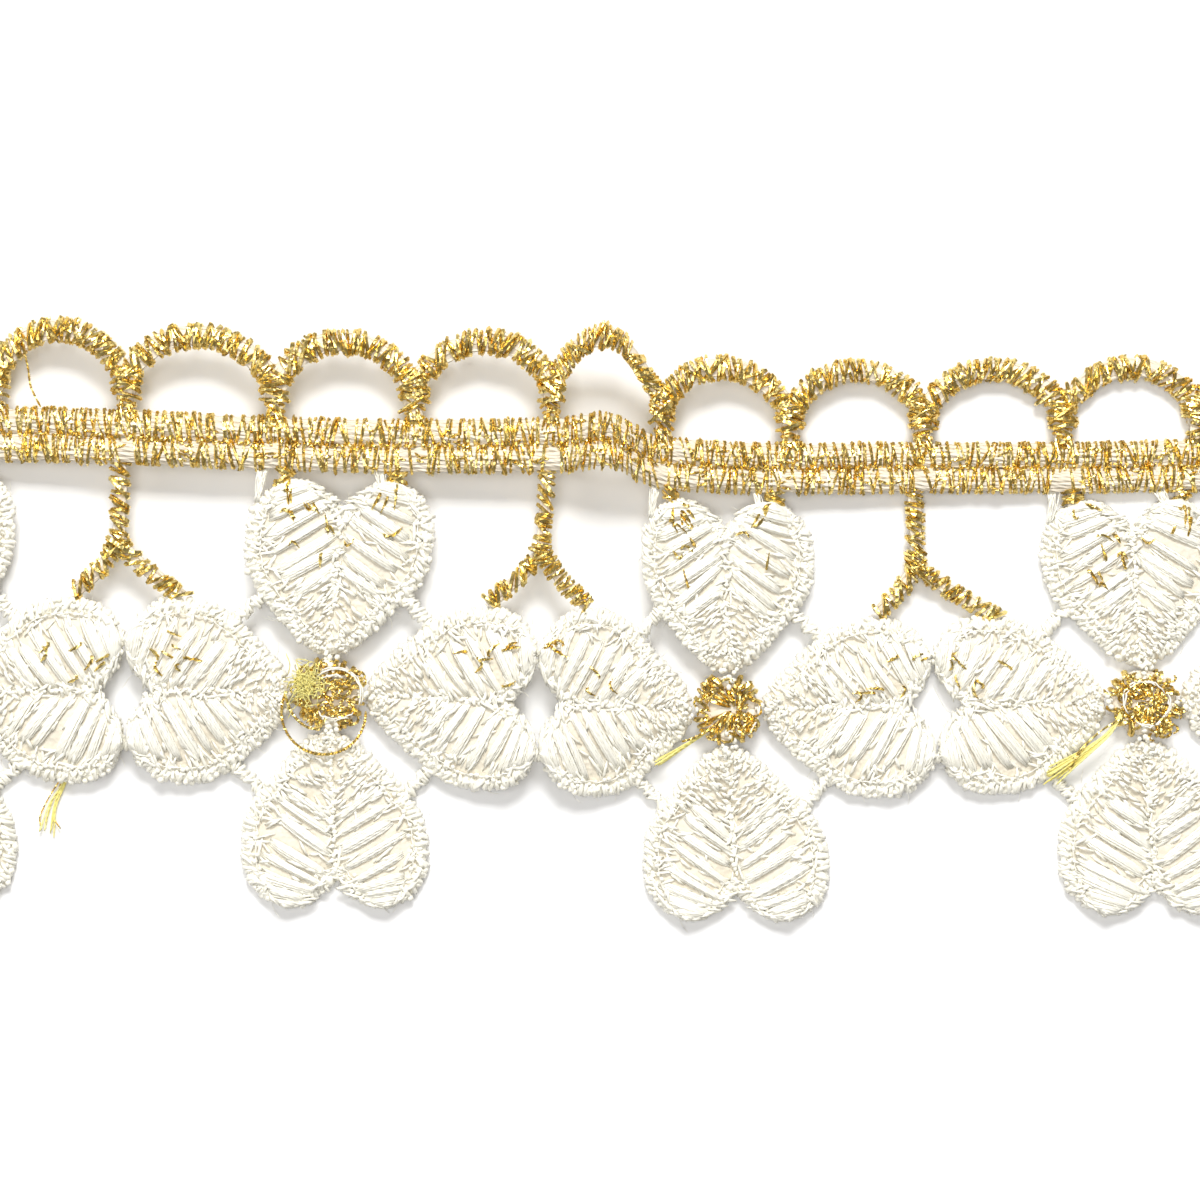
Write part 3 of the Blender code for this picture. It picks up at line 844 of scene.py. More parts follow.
def tail_look(colours):
    """The pale yellow core thread of a frayed end."""

    def build(start):
        turn, run = thread_spot(start)
        fibres = (turn * 2.0 + run * 2.0).wave()
        way = (shade_of(start) * 0.7 + noise(start, 1500.0) * 0.3).within(0.0, 1.0)
        return {
            "Base Color": way.colour(rgba(colours.tail_deep), rgba(colours.tail_pale)),
            "Roughness": 0.4,
            "Sheen Weight": 0.3,
            "Normal": bumped(start, fibres, 0.00002, 0.5),
        }

    return finished("pale_yellow_core_thread", build)


def floor_look(colours):
    """The white paper that the braid lies on."""

    def build(start):
        return {
            "Base Color": rgba(colours.floor),
            "Roughness": 0.85,
            "Normal": bumped(start, noise(start, 900.0, 2.0), 0.00002, 0.2),
        }

    return finished("pale_paper_floor", build)


def colour_property(name, description, default):
    return FloatVectorProperty(
        name=name, description=description, default=default, subtype="COLOR", size=3,
        min=0.0, max=1.0,
    )


def length_property(name, description, default, least, most):
    """A length that is given in millimetres and kept in metres."""
    return FloatProperty(
        name=name, description=description, default=default * MM, min=least * MM, max=most * MM,
        precision=5, unit="LENGTH",
    )


class BraidColours(bpy.types.PropertyGroup):
    # Painted highlight and painted shade: lit gold and gold turned away from the light, laid on the
    # film at random
    gold_painted_lit: colour_property("Gold in painted light", "Film that catches the light", (1.0, 0.86, 0.37))
    gold_painted_shade: colour_property("Gold in painted shade", "Film that is turned away", (0.71, 0.47, 0.11))
    padding: colour_property("Padding", "Cotton that shows in the gaps", (0.93, 0.87, 0.75))
    # Painted shade: darker cotton for padding deeper down, laid on at random
    padding_painted_shade: colour_property("Padding in painted shade", "Cotton deeper down", (0.77, 0.66, 0.49))
    # Painted shade: the second ivory, creamier and duller, stands for satin in shade; the first is
    # the lit thread
    ivory: colour_property("Ivory", "Lit satin stitches and edges", (0.97, 0.95, 0.86))
    ivory_painted_shade: colour_property("Ivory in painted shade", "The duller ones", (0.95, 0.915, 0.78))
    ground: colour_property("Petal padding", "Stitches under the satin", (0.92, 0.89, 0.79))
    # Painted shade: darker padding for the hollows between the satin bundles, laid on by noise
    ground_painted_shade: colour_property("Petal padding in painted shade", "The deepest of them", (0.78, 0.71, 0.57))
    tail_pale: colour_property("Pale yellow", "Core thread of a frayed end", (1.0, 0.93, 0.36))
    tail_deep: colour_property("Yellow", "The same thread where it is bunched", (0.93, 0.80, 0.20))
    floor: colour_property("Floor", "The paper under the braid", (0.93, 0.93, 0.93))


class BraidSizes(bpy.types.PropertyGroup):
    gold_thread: length_property("Gold thread", "Width of the gold thread", 0.28, 0.1, 0.6)
    gold_pitch: length_property("Gold pitch", "From one gold winding to the next", 0.34, 0.1, 2.0)
    ivory_thread: length_property("Ivory thread", "Width of the ivory thread", 0.26, 0.1, 0.6)
    edge_cord: length_property("Petal edge", "Width of the beaded edge of a petal", 1.05, 0.3, 3.0)
    bundles: IntProperty(
        name="Satin bundles", description="Bundles of satin stitches on one lobe",
        default=9, min=3, max=30,
    )


def sizes():
    return bpy.context.scene.braid_sizes


def looks():
    """Every material of the braid by name, made once."""
    if "gold_metal_film" not in bpy.data.materials:
        colours = bpy.context.scene.braid_colours
        gold_look(colours)
        padding_look(colours)
        ivory_look(colours, "ivory_satin_thread", 0.20, 0.7)
        ivory_look(colours, "ivory_edge_thread", 0.28, 0.6)
        ground_look(colours)
        tail_look(colours)
        floor_look(colours)
    return bpy.data.materials


def stations_on(line, pitch, draw, jitter=0.2, skip=0.0, bare=()):
    """Spots about a pitch apart along a line of x and y: where they are and which way it runs.

    Bare lists runs along the line about which few of them are left.
    """
    run = run_along(line)
    count = max(2, int(run[-1] / pitch))
    at = (np.arange(count) + 0.5 + draw.normal(0, jitter, count)) * run[-1] / count
    chance = np.full(count, skip)
    for spot in bare:
        chance[np.abs(at - spot) < BARE_REACH] = BARE_CHANCE
    at = np.clip(at[draw.uniform(0, 1, count) >= chance], 0, run[-1])
    ahead, behind = read_at(line, run, at + 0.15), read_at(line, run, at - 0.15)
    return read_at(line, run, at), unit(ahead - behind)


def beside(ahead):
    """The level direction to the left of each direction."""
    return np.stack([-ahead[..., 1], ahead[..., 0]], axis=-1)


def windings(
    skein, line, width, thickness, back, pitch,
    lean=0.2, lean_spread=0.2, ragged=0.1, steps=11, **spacing,
):
    """Paths of thread wound round a padded cord, each from under it over the top and back.

    Lean is how far a turn slips along the cord on its way across, and ragged how uneven turns are.
    """
    draw = skein.draw
    spot, ahead = stations_on(line, pitch, draw, **spacing)
    count = len(spot)
    angle = np.radians(np.linspace(*WRAP, steps))[None] + draw.normal(0, 0.08, (count, 1))
    bulges = 1 + np.abs(draw.normal(0, ragged, (2, count, 1)))
    sideways = np.cos(angle)
    across = width / 2 * sideways * np.where(sideways > 0, bulges[0], bulges[1])
    lift = 1 + draw.normal(0, ragged * 0.7, (count, 1))
    up = back + thickness / 2 + thickness / 2 * np.sin(angle) * lift
    slip = across * (lean + draw.normal(0, lean_spread, (count, 1)))
    flat = spot[:, None] + beside(ahead)[:, None] * across[..., None]
    flat = flat + ahead[:, None] * slip[..., None]
    paths = np.concatenate([flat, up[..., None]], axis=2)
    side = np.concatenate([ahead, np.zeros((count, 1))], axis=1)[:, None]
    return paths, side


def wind_gold(
    skein, line, width, thickness, back, pitch=None, thick=1.0, flatness=(0.6, 0.85), **manner
):
    """Winds gold thread over a cord along the line, each turn with its own size and twist."""
    pitch = sizes().gold_pitch / MM if pitch is None else pitch
    paths, side = windings(skein, line, width, thickness, back, pitch, **manner)
    count, draw = len(paths), skein.draw
    wide = sizes().gold_thread / MM * thick * draw.uniform(0.9, 1.3, count)
    turns = draw.uniform(0.4, 0.9, count) * draw.choice([-1, 1], count)
    skein.threads(paths, wide, wide * draw.uniform(*flatness, count), turns=turns, side=side)


def wind_ivory(skein, line, width, thickness, back, pitch, thick=1.0, steps=9, **manner):
    """Winds ivory thread over a cord along the line, in soft round turns."""
    paths, side = windings(skein, line, width, thickness, back, pitch, steps=steps, **manner)
    wide = sizes().ivory_thread / MM * thick * skein.draw.uniform(0.8, 1.3, len(paths))
    skein.threads(paths, wide, wide * 0.9, sides=5, side=side)


def padded_cord(
    skein, line, width, thickness, back, step=0.9, sides=10, strands=3, strand=0.34
):
    """A padding cord along a line of x and y, with a few of its strands showing on top."""
    count = max(3, int(run_along(line)[-1] / step))
    middle = spaced(line, count)
    core = level(middle, back + thickness / 2)
    skein.threads(core[None], width * 1.04, thickness * 1.04, sides=sides, taper=0.9)
    left = beside(unit(np.gradient(middle, axis=0)))
    for angle in np.linspace(math.radians(30), math.radians(150), strands):
        sway = skein.draw.normal(0, 0.05, count)
        across = (width / 2 * math.cos(angle) + sway)[:, None] * left
        up = back + thickness / 2 * (1 + math.sin(angle)) + skein.draw.normal(0, 0.03, count)
        path = level(middle + across, up)
        skein.threads(path[None], strand, strand * 0.8, sides=5, taper=0.9)


def bowed(first, last, lift, steps=5, sag=(0.0, 0.0)):
    """A short stitch between two points, which stands out and up this much in its middle."""
    way = np.linspace(0, 1, steps)[:, None]
    path = np.asarray(first, float) + (np.asarray(last, float) - first) * way
    return path + np.array([*sag, lift]) * np.sin(math.pi * way)


def post_at(number):
    return number * LOOP_PITCH


def header_rows():
    """The middles of the header's two rows, end to end."""
    along = np.linspace(-HEADER_END, post_at(LOOPS) + HEADER_END, 400)
    offsets = (ROW_OFFSET, -ROW_OFFSET)
    return [np.stack([along, np.full_like(along, offset)], axis=1) for offset in offsets]


def loop_line(number):
    """The middle of one loop, from foot to foot."""
    left, right = post_at(number) + LOOP_INSET, post_at(number + 1) - LOOP_INSET
    middle, reach = (left + right) / 2, (right - left) / 2
    turn = np.linspace(math.pi, 0, 60)
    round_arc, peaked_arc = np.sin(turn), 1 - np.abs(np.cos(turn)) ** LOOP_PEAK_POWER
    rise = (1 - LOOP_PEAKED) * round_arc + LOOP_PEAKED * peaked_arc
    arc = np.stack([middle + reach * np.cos(turn), LOOP_SPRING + LOOP_RISE * rise], axis=1)
    return np.vstack([[(left, LOOP_FOOT)], arc, [(right, LOOP_FOOT)]])


def post_line(number, span):
    return np.array([(post_at(number), across) for across in span])


def bar_lines(bar):
    """The middles of a forked bar's stem and prongs."""
    along = post_at(bar["post"]) + bar["offset"]
    lines = [np.array([(along, -1.6), (along, FORK - 0.3)])]
    for side, down in bar["prong_ends"]:
        bow = (along + side * 0.42, (FORK + down) / 2 + 0.15)
        lines.append(spline_points([(along, FORK + 0.3), bow, (along + side, down)], 14))
    return lines


def fork_line(bar):
    along = post_at(bar["post"]) + bar["offset"]
    return np.array([(along, FORK + 0.6), (along, FORK - 0.5)])


def flower_along(flower):
    return (flower + 0.5) * FLOWER_PITCH


def tie_lines():
    lines = []
    for flower in range(REPEATS):
        for offset in TIE_OFFSETS:
            along = flower_along(flower) + offset
            lines.append(np.array([(along, across) for across in TIE_SPAN]))
    return lines


OUTER = spline_points(HEART_OUTER, 201)
INNER = spline_points(HEART_INNER, 201)
WAY = np.linspace(0, 1, 201)


def heart_spot(row, share):
    """Spots of a half petal in shares of its length and half width; rows run from tip to lobe."""
    row, share = np.broadcast_arrays(row, share)
    ahead = np.clip(row, 0, 1) ** SLANT
    inner, outer = read_at(INNER, WAY, ahead), read_at(OUTER, WAY, row)
    return inner + (outer - inner) * share[..., None]


def crown(share):
    """How high the padding stands at a share of the way from the vein to the edge."""
    shares, heights = zip(*((spot["share"], spot["height"]) for spot in PETAL_SECTION))
    return np.interp(share, shares, heights)


def petal_place(flower, petal, local):
    """Moves points of a petal, with its tip at the origin, to its place on the flat braid."""
    turn = math.radians(petal["points_to"])
    ahead, sideways = local[..., 0] + TIP_RADIUS, local[..., 1]
    along = flower_along(flower) + ahead * math.cos(turn) - sideways * math.sin(turn)
    across = FLOWER_LINE + ahead * math.sin(turn) + sideways * math.cos(turn)
    return np.stack([along, across, local[..., 2]], axis=-1)


def on_petal(flower, petal, half, row, share, height):
    """Spots on one half of a petal of the flat braid, that high above the back."""
    spot = heart_spot(row, share)
    ahead = spot[..., 0] * petal["length"]
    sideways = spot[..., 1] * petal["half_width"] * half
    local = np.stack([ahead, sideways, np.broadcast_to(height, ahead.shape)], axis=-1)
    return petal_place(flower, petal, local)


def row_length(petal, row):
    """How many millimetres one whole row step is, halfway out on the lobe."""
    before, after = heart_spot(np.array([row - 0.02, row + 0.02]), np.array([0.5, 0.5]))
    return float(np.linalg.norm((after - before) * (petal["length"], petal["half_width"]))) / 0.04


def petal_outline(petal, count=240):
    """The whole outline of a petal with its tip at the origin, once round."""
    right = OUTER * (petal["length"], petal["half_width"])
    notch = INNER[INNER[:, 0] >= 0.8][::-1] * (petal["length"], petal["half_width"])
    half = np.vstack([right, notch[1:]])
    whole = np.vstack([half, (half * (1, -1))[::-1], half[:1]])
    return spaced(whole, count + 1)[:-1]


def inset(outline, distance):
    """The outline moved inwards by a distance and smoothed round its corners, closed."""
    ahead = unit(np.roll(outline, -2, axis=0) - np.roll(outline, 2, axis=0))
    after = np.roll(outline, -1, axis=0)
    turning = (outline[:, 0] * after[:, 1] - outline[:, 1] * after[:, 0]).sum()
    moved = outline + beside(ahead) * distance * (1 if turning > 0 else -1)
    for _ in range(3):
        moved = (np.roll(moved, 1, axis=0) + 2 * moved + np.roll(moved, -1, axis=0)) / 4
    return np.vstack([moved, moved[:1]])


def outline_area(outline):
    after = np.roll(outline, -1, axis=0)
    return abs((outline[:, 0] * after[:, 1] - outline[:, 1] * after[:, 0]).sum()) / 2


def level(line, height):
    """Points of a flat line at that height."""
    return np.concatenate([line, np.broadcast_to(height, len(line))[:, None]], axis=1)


def petal_ground(petal, draw, rows=20, columns=7):
    """The closed padding of one petal as a bmesh, with its tip at the origin."""
    body = bmesh.new()
    bmesh.ops.create_grid(body, x_segments=rows, y_segments=columns, size=0.5)
    grid = np.array([vert.co[:2] for vert in body.verts]) + 0.5
    row, share = grid[:, 0], grid[:, 1] * 0.97
    spot = heart_spot(row, share)
    lobe_side = (share < 0.01) & (spot[:, 0] > 0.8)
    height = np.where(lobe_side | (row > 0.995), 0.45, crown(share))
    for vert, (x, y), z in zip(body.verts, spot * (petal["length"], petal["half_width"]), height):
        vert.co = (x, max(y, 0.0), z)
    twin = bmesh.ops.duplicate(body, geom=body.verts[:] + body.edges[:] + body.faces[:])["geom"]
    for vert in twin:
        if isinstance(vert, bmesh.types.BMVert):
            vert.co.y = -vert.co.y
    bmesh.ops.remove_doubles(body, verts=body.verts, dist=0.02)
    for vert in body.verts:
        if not vert.is_boundary:
            vert.co.z += draw.normal(0, 0.04)
    bottom = bmesh.ops.extrude_face_region(body, geom=body.faces[:], use_keep_orig=True)["geom"]
    for vert in bottom:
        if isinstance(vert, bmesh.types.BMVert):
            vert.co.z = 0.04
    bmesh.ops.recalc_face_normals(body, faces=body.faces)
    return body


def add_ground(skein, flower, petal):
    body = petal_ground(petal, skein.draw)
    body.verts.index_update()
    points = petal_place(flower, petal, np.array([vert.co for vert in body.verts]))
    faces = [[vert.index for vert in face.verts] for face in body.faces]
    by_size = [[face for face in faces if len(face) == size] for size in (3, 4)]
    skein.shape(points, [np.array(rows) for rows in by_size if rows])
    body.free()


def add_satin(skein, flower, petal):
    """Slanted bundles of satin stitches on both lobes, from the vein to the beaded edge."""
    draw, steps = skein.draw, 7
    thread = sizes().ivory_thread / MM
    bundles = sizes().bundles
    way = np.linspace(0, 1, steps)
    arch = np.sin(math.pi * way) ** 0.5
    for half in (-1, 1):
        for number in range(bundles):
            row = BUNDLE_ROWS[0] + (BUNDLE_ROWS[1] - BUNDLE_ROWS[0]) * (number + 0.5) / bundles
            row += draw.normal(0, 0.008)
            mm = row_length(petal, row)
            count = draw.integers(*BUNDLE_THREADS)
            first, last = draw.uniform(*BUNDLE_STARTS), draw.uniform(*BUNDLE_ENDS)
            share = first + (last - first) * way
            tilt = draw.normal(0, 0.25) / mm
            for place in np.linspace(-1, 1, count):
                spread = place * thread * 0.6 * (count - 1) / 2 * (0.62 + 0.38 * arch)
                wander = draw.normal(0, 0.01, steps) + draw.normal(0, 0.02)
                line = row + (spread + wander) / mm + tilt * (way - 0.5)
                height = crown(share) + 0.04 + BUNDLE_ARCH * (1 - 0.5 * place**2) * arch
                height = height + draw.normal(0, 0.012)
                width = thread * draw.uniform(0.85, 1.15)
                path = on_petal(flower, petal, half, line, share, height)
                skein.threads(path[None], width, width * 0.5, sides=5)


def add_short_stitches(skein, flower, petal):
    """The crossed, knotted stitches near the tip, along the vein and inside the edge."""
    draw, steps = skein.draw, 4
    thread = sizes().ivory_thread / MM
    way = np.linspace(-1, 1, steps)
    arch = 1 - way**2
    for half in (-1, 1):
        for zone in SHORT_STITCHES:
            for _ in range(zone["count"]):
                row, share = draw.uniform(*zone["rows"]), draw.uniform(*zone["shares"])
                mm = row_length(petal, max(row, 0.03))
                reach = draw.uniform(0.4, 0.9)
                turn = math.radians(draw.normal(zone["turn"], zone["spread"]))
                mean = petal["half_width"] * MEAN_WIDTH
                shares = np.clip(share + way * reach * math.cos(turn) / mean, -0.06, 0.93)
                rows = np.clip(row + way * reach * math.sin(turn) / mm, 0.0, 0.99)
                height = crown(shares) + zone["lift"] + draw.uniform(0.06, 0.26) * arch
                width = thread * draw.uniform(0.8, 1.4)
                path = on_petal(flower, petal, half, rows, shares, height)
                skein.threads(path[None], width, width * 0.85)


def add_knots(skein, flower, petal, line, pitch, heights, size, sway):
    """Small lumpy knots along a line of the petal."""
    placed = petal_place(flower, petal, level(line, 0.0))[:, :2]
    spot, ahead = stations_on(placed, pitch, skein.draw, skip=0.08)
    spot = spot + beside(ahead) * skein.draw.normal(0, sway, (len(spot), 1))
    knots = level(spot, skein.draw.uniform(*heights, len(spot)))
    skein.beads(knots, skein.draw.uniform(*size, (len(knots), 3)))


def add_edge(skein, flower, petal):
    """The overcast, beaded edge of a petal, with the fine stray thread inside it."""
    draw = skein.draw
    width = sizes().edge_cord / MM
    outline = petal_outline(petal)
    line = petal_place(flower, petal, level(inset(outline, width * 0.45), 0.0))[:, :2]
    padded_cord(
        skein, line, width=width * 0.8, thickness=0.72, back=0.12, step=0.8, sides=6, strands=0
    )
    wind_ivory(
        skein, line, width=width * 0.9, thickness=0.95, back=0.03, pitch=0.38, thick=1.3,
        lean=0.3, lean_spread=0.4, ragged=0.14, jitter=0.35,
    )
    for knots in EDGE_KNOTS:
        manner = dict(knots)
        along = inset(outline, manner.pop("inset") + manner.pop("widths") * width)
        add_knots(skein, flower, petal, along, **manner)
    inside = inset(outline, width)
    inside = inside + draw.normal(0, 0.05, inside.shape)
    stray = petal_place(flower, petal, level(inside, 1.12 + draw.normal(0, 0.03, len(inside))))
    skein.threads(stray[::2][None], 0.14)


def add_vein(skein, flower, petal):
    """The chain of knots along the vein, from the tip to the notch."""
    vein = np.stack([np.linspace(0.3, petal["length"] * 0.8, 30), np.zeros(30)], axis=1)
    add_knots(
        skein, flower, petal, vein, pitch=0.36, heights=(0.95, 1.12), size=(0.32, 0.55), sway=0.12
    )


def add_gold_flecks(skein, flower, petal, half, count):
    """Ends of the gold pass that show between the satin bundles."""
    draw, way = skein.draw, np.linspace(-1, 1, 6)
    for _ in range(count):
        row, share = draw.uniform(*FLECK_ROWS), draw.uniform(*FLECK_SHARES)
        mm = row_length(petal, row)
        turn = math.radians(draw.uniform(25, 110))
        reach = draw.uniform(0.4, 0.8)
        shares = share + way * reach * math.cos(turn) / (petal["half_width"] * MEAN_WIDTH)
        bend = draw.choice([-0.45, 0.45]) * way**2
        rows = row + (way * reach * math.sin(turn) + bend) / mm
        height = crown(shares) + FLECK_LIFT + 0.08 * (1 - way**2)
        path = on_petal(flower, petal, half, rows, shares, height)
        width = draw.uniform(0.24, 0.36)
        skein.threads(path[None], width, width * 0.7, turns=draw.uniform(0.5, 1.2))


def add_fibres(skein, flower, petal, count=10):
    """Fine hairs that stand off the edge."""
    draw = skein.draw
    outline = petal_outline(petal)
    middle = outline.mean(axis=0)
    for _ in range(count):
        start = outline[draw.integers(0, len(outline))]
        out = unit(start - middle)
        curl = beside(out) * draw.normal(0, 0.8)
        reach = draw.uniform(0.3, 1.1)
        bend = start + out * reach * 0.5 + curl * 0.2
        rows = [start - out * 0.4, bend, start + out * reach + curl]
        line = level(spline_points(rows, 8), draw.uniform(0.3, 0.9))
        skein.threads(petal_place(flower, petal, line)[None], 0.045, sides=3)


def link_lines(flower):
    """The ivory links between neighbouring petals."""
    middle = np.array([flower_along(flower), FLOWER_LINE])
    return [middle + np.array(ends) * (side, 1) for side in (-1, 1) for ends in PETAL_LINKS]


def neighbour_lines(flower):
    """The short ties between the side petals of this flower and the next."""
    middle = np.array([(flower + 1) * FLOWER_PITCH, FLOWER_LINE])
    reach = NEIGHBOUR_TIES["reach"]
    return [middle + [(-reach, across), (reach, across)] for across in NEIGHBOUR_TIES["across"]]


class BRAID_OT_pad_header(bpy.types.Operator):
    """Lays the beige padding cords of the header, its loops and its forked bars"""

    bl_idname = "braid.pad_header"
    bl_label = "Pad the header"

    def execute(self, context):
        skein = Skein(11)
        for line in header_rows():
            padded_cord(
                skein, line, width=1.7, thickness=1.25, back=0.04, step=1.1, strands=7, strand=0.42
            )
        for number in range(LOOPS):
            padded_cord(
                skein, loop_line(number), width=LOOP_CORD * 0.75, thickness=LOOP_THICKNESS * 0.75,
                back=0.18,
            )
        for number in range(LOOPS + 1):
            padded_cord(
                skein, post_line(number, WAIST_SPAN), width=WAIST_WIDTH * 0.8, thickness=1.0,
                back=0.15, step=0.5, strands=2,
            )
            padded_cord(
                skein, post_line(number, KNOT_SPAN), width=KNOT_WIDTH * 0.8,
                thickness=KNOT_THICKNESS * 0.8, back=0.1, step=0.5,
            )
        for bar in FORKED_BARS:
            for line in bar_lines(bar):
                padded_cord(
                    skein, line, width=BAR_CORD * 0.62, thickness=BAR_THICKNESS * 0.7, back=0.15,
                    strands=2,
                )
        for line in tie_lines():
            padded_cord(skein, line, width=0.9, thickness=0.7, back=0.2, step=0.4, strands=0)
        skein.make("header_padding", "beige_padding_cotton", "gold_header")
        return {"FINISHED"}


class BRAID_OT_wind_header(bpy.types.Operator):
    """Winds the gold thread over the header's two rows and knots it down between them"""

    bl_idname = "braid.wind_header"
    bl_label = "Wind the header"

    def execute(self, context):
        skein = Skein(21)
        # The lower row is almost bare under the necks: how far along it each of them is
        bare = [post_at(number) + HEADER_END for number in range(LOOPS + 1)]
        for line, spots in zip(header_rows(), ((), bare)):
            wind_gold(
                skein, line, width=ROW_WIDTH, thickness=ROW_THICKNESS, back=0.03, thick=1.05,
                lean=0.0, lean_spread=0.2, ragged=0.08, skip=0.08, jitter=0.3, bare=spots,
            )
        self.add_valley(skein)
        self.add_lengthwise(skein)
        self.add_splay(skein)
        skein.make("header_windings", "gold_metal_film")
        return {"FINISHED"}

    def add_valley(self, skein, step=0.6):
        """Short stitches at all angles between the rows."""
        draw = skein.draw
        for along in np.arange(-HEADER_END, post_at(LOOPS) + HEADER_END, step):
            middle = np.array([along + draw.normal(0, 0.15), draw.normal(0, 0.12)])
            turn = draw.uniform(0, math.pi)
            reach = np.array([math.cos(turn), math.sin(turn)]) * draw.uniform(0.2, 0.45)
            first, last = level(np.array([middle - reach, middle + reach]), 1.22)
            skein.strand(bowed(first, last, draw.uniform(0.1, 0.25)), (0.2, 0.3), (0.2, 0.5))

    def add_lengthwise(self, skein, count=220):
        """Stitches along the rows, over the windings."""
        draw = skein.draw
        for along in draw.uniform(-HEADER_END, post_at(LOOPS), count):
            reach = draw.uniform(0.25, 0.6)
            across = draw.choice([ROW_OFFSET, -ROW_OFFSET]) + draw.normal(0, 0.3)
            first = (along, across, ROW_TOP)
            last = (along + 2 * reach, across + draw.normal(0, 0.25), ROW_TOP)
            skein.strand(bowed(first, last, 0.12), (0.2, 0.3), (0.2, 0.6))

    def add_splay(self, skein):
        """Stitches that spread out from the foot of each neck."""
        draw = skein.draw
        for number in range(LOOPS + 1):
            for side in (-1.0, -0.6, 0.5, 1.0):
                lean = side * draw.uniform(0.7, 1.2)
                foot_across = WAIST_SPAN[0] - draw.uniform(0.3, 1.1)
                top = (post_at(number) + side * 0.35, WAIST_SPAN[0] + 1.3, 1.15)
                foot = (post_at(number) + lean, foot_across, 1.38)
                skein.strand(bowed(top, foot, 0.15, 6), (0.24, 0.34), (0.3, 0.8))


class BRAID_OT_wind_loops(bpy.types.Operator):
    """Winds the gold thread over the loops, and knots it round the necks between them"""

    bl_idname = "braid.wind_loops"
    bl_label = "Wind the loops"

    def execute(self, context):
        skein = Skein(31)
        for number in range(LOOPS):
            wind_gold(
                skein, loop_line(number), width=LOOP_CORD * 0.94, thickness=LOOP_THICKNESS,
                back=0.04, pitch=0.26, thick=1.06, flatness=(0.8, 1.0), lean=0.25,
                lean_spread=0.45, ragged=0.12, skip=0.04, jitter=0.35,
            )
        for number in range(LOOPS + 1):
            wind_gold(
                skein, post_line(number, WAIST_SPAN), width=WAIST_WIDTH, thickness=1.25,
                back=0.05, thick=1.15, lean=0.1, lean_spread=0.4, ragged=0.12,
            )
            wind_gold(
                skein, post_line(number, KNOT_SPAN), width=KNOT_WIDTH, thickness=KNOT_THICKNESS,
                back=0.03, pitch=0.24, thick=1.05, lean=0.0, lean_spread=0.5, ragged=0.14,
            )
        skein.make("loop_windings", "gold_metal_film")
        return {"FINISHED"}


class BRAID_OT_wind_bars(bpy.types.Operator):
    """Winds the gold thread loosely over the forked bars and the short ties"""

    bl_idname = "braid.wind_bars"
    bl_label = "Wind the bars"

    def execute(self, context):
        skein = Skein(41)
        for bar in FORKED_BARS:
            for line in bar_lines(bar):
                wind_gold(
                    skein, line, width=BAR_CORD, thickness=BAR_THICKNESS, back=0.05, pitch=0.4,
                    thick=1.15, flatness=(0.8, 1.0), lean=0.5, lean_spread=0.4, ragged=0.12,
                )
            wind_gold(
                skein, fork_line(bar), width=1.6, thickness=1.35, back=0.05, pitch=0.26,
                thick=1.2, lean_spread=0.6, ragged=0.15,
            )
        for line in tie_lines():
            wind_gold(
                skein, line, width=1.3, thickness=1.15, back=0.05, pitch=0.2, thick=1.2,
                lean=0.1, lean_spread=0.6, ragged=0.15,
            )
        skein.make("bar_windings", "gold_metal_film")
        return {"FINISHED"}


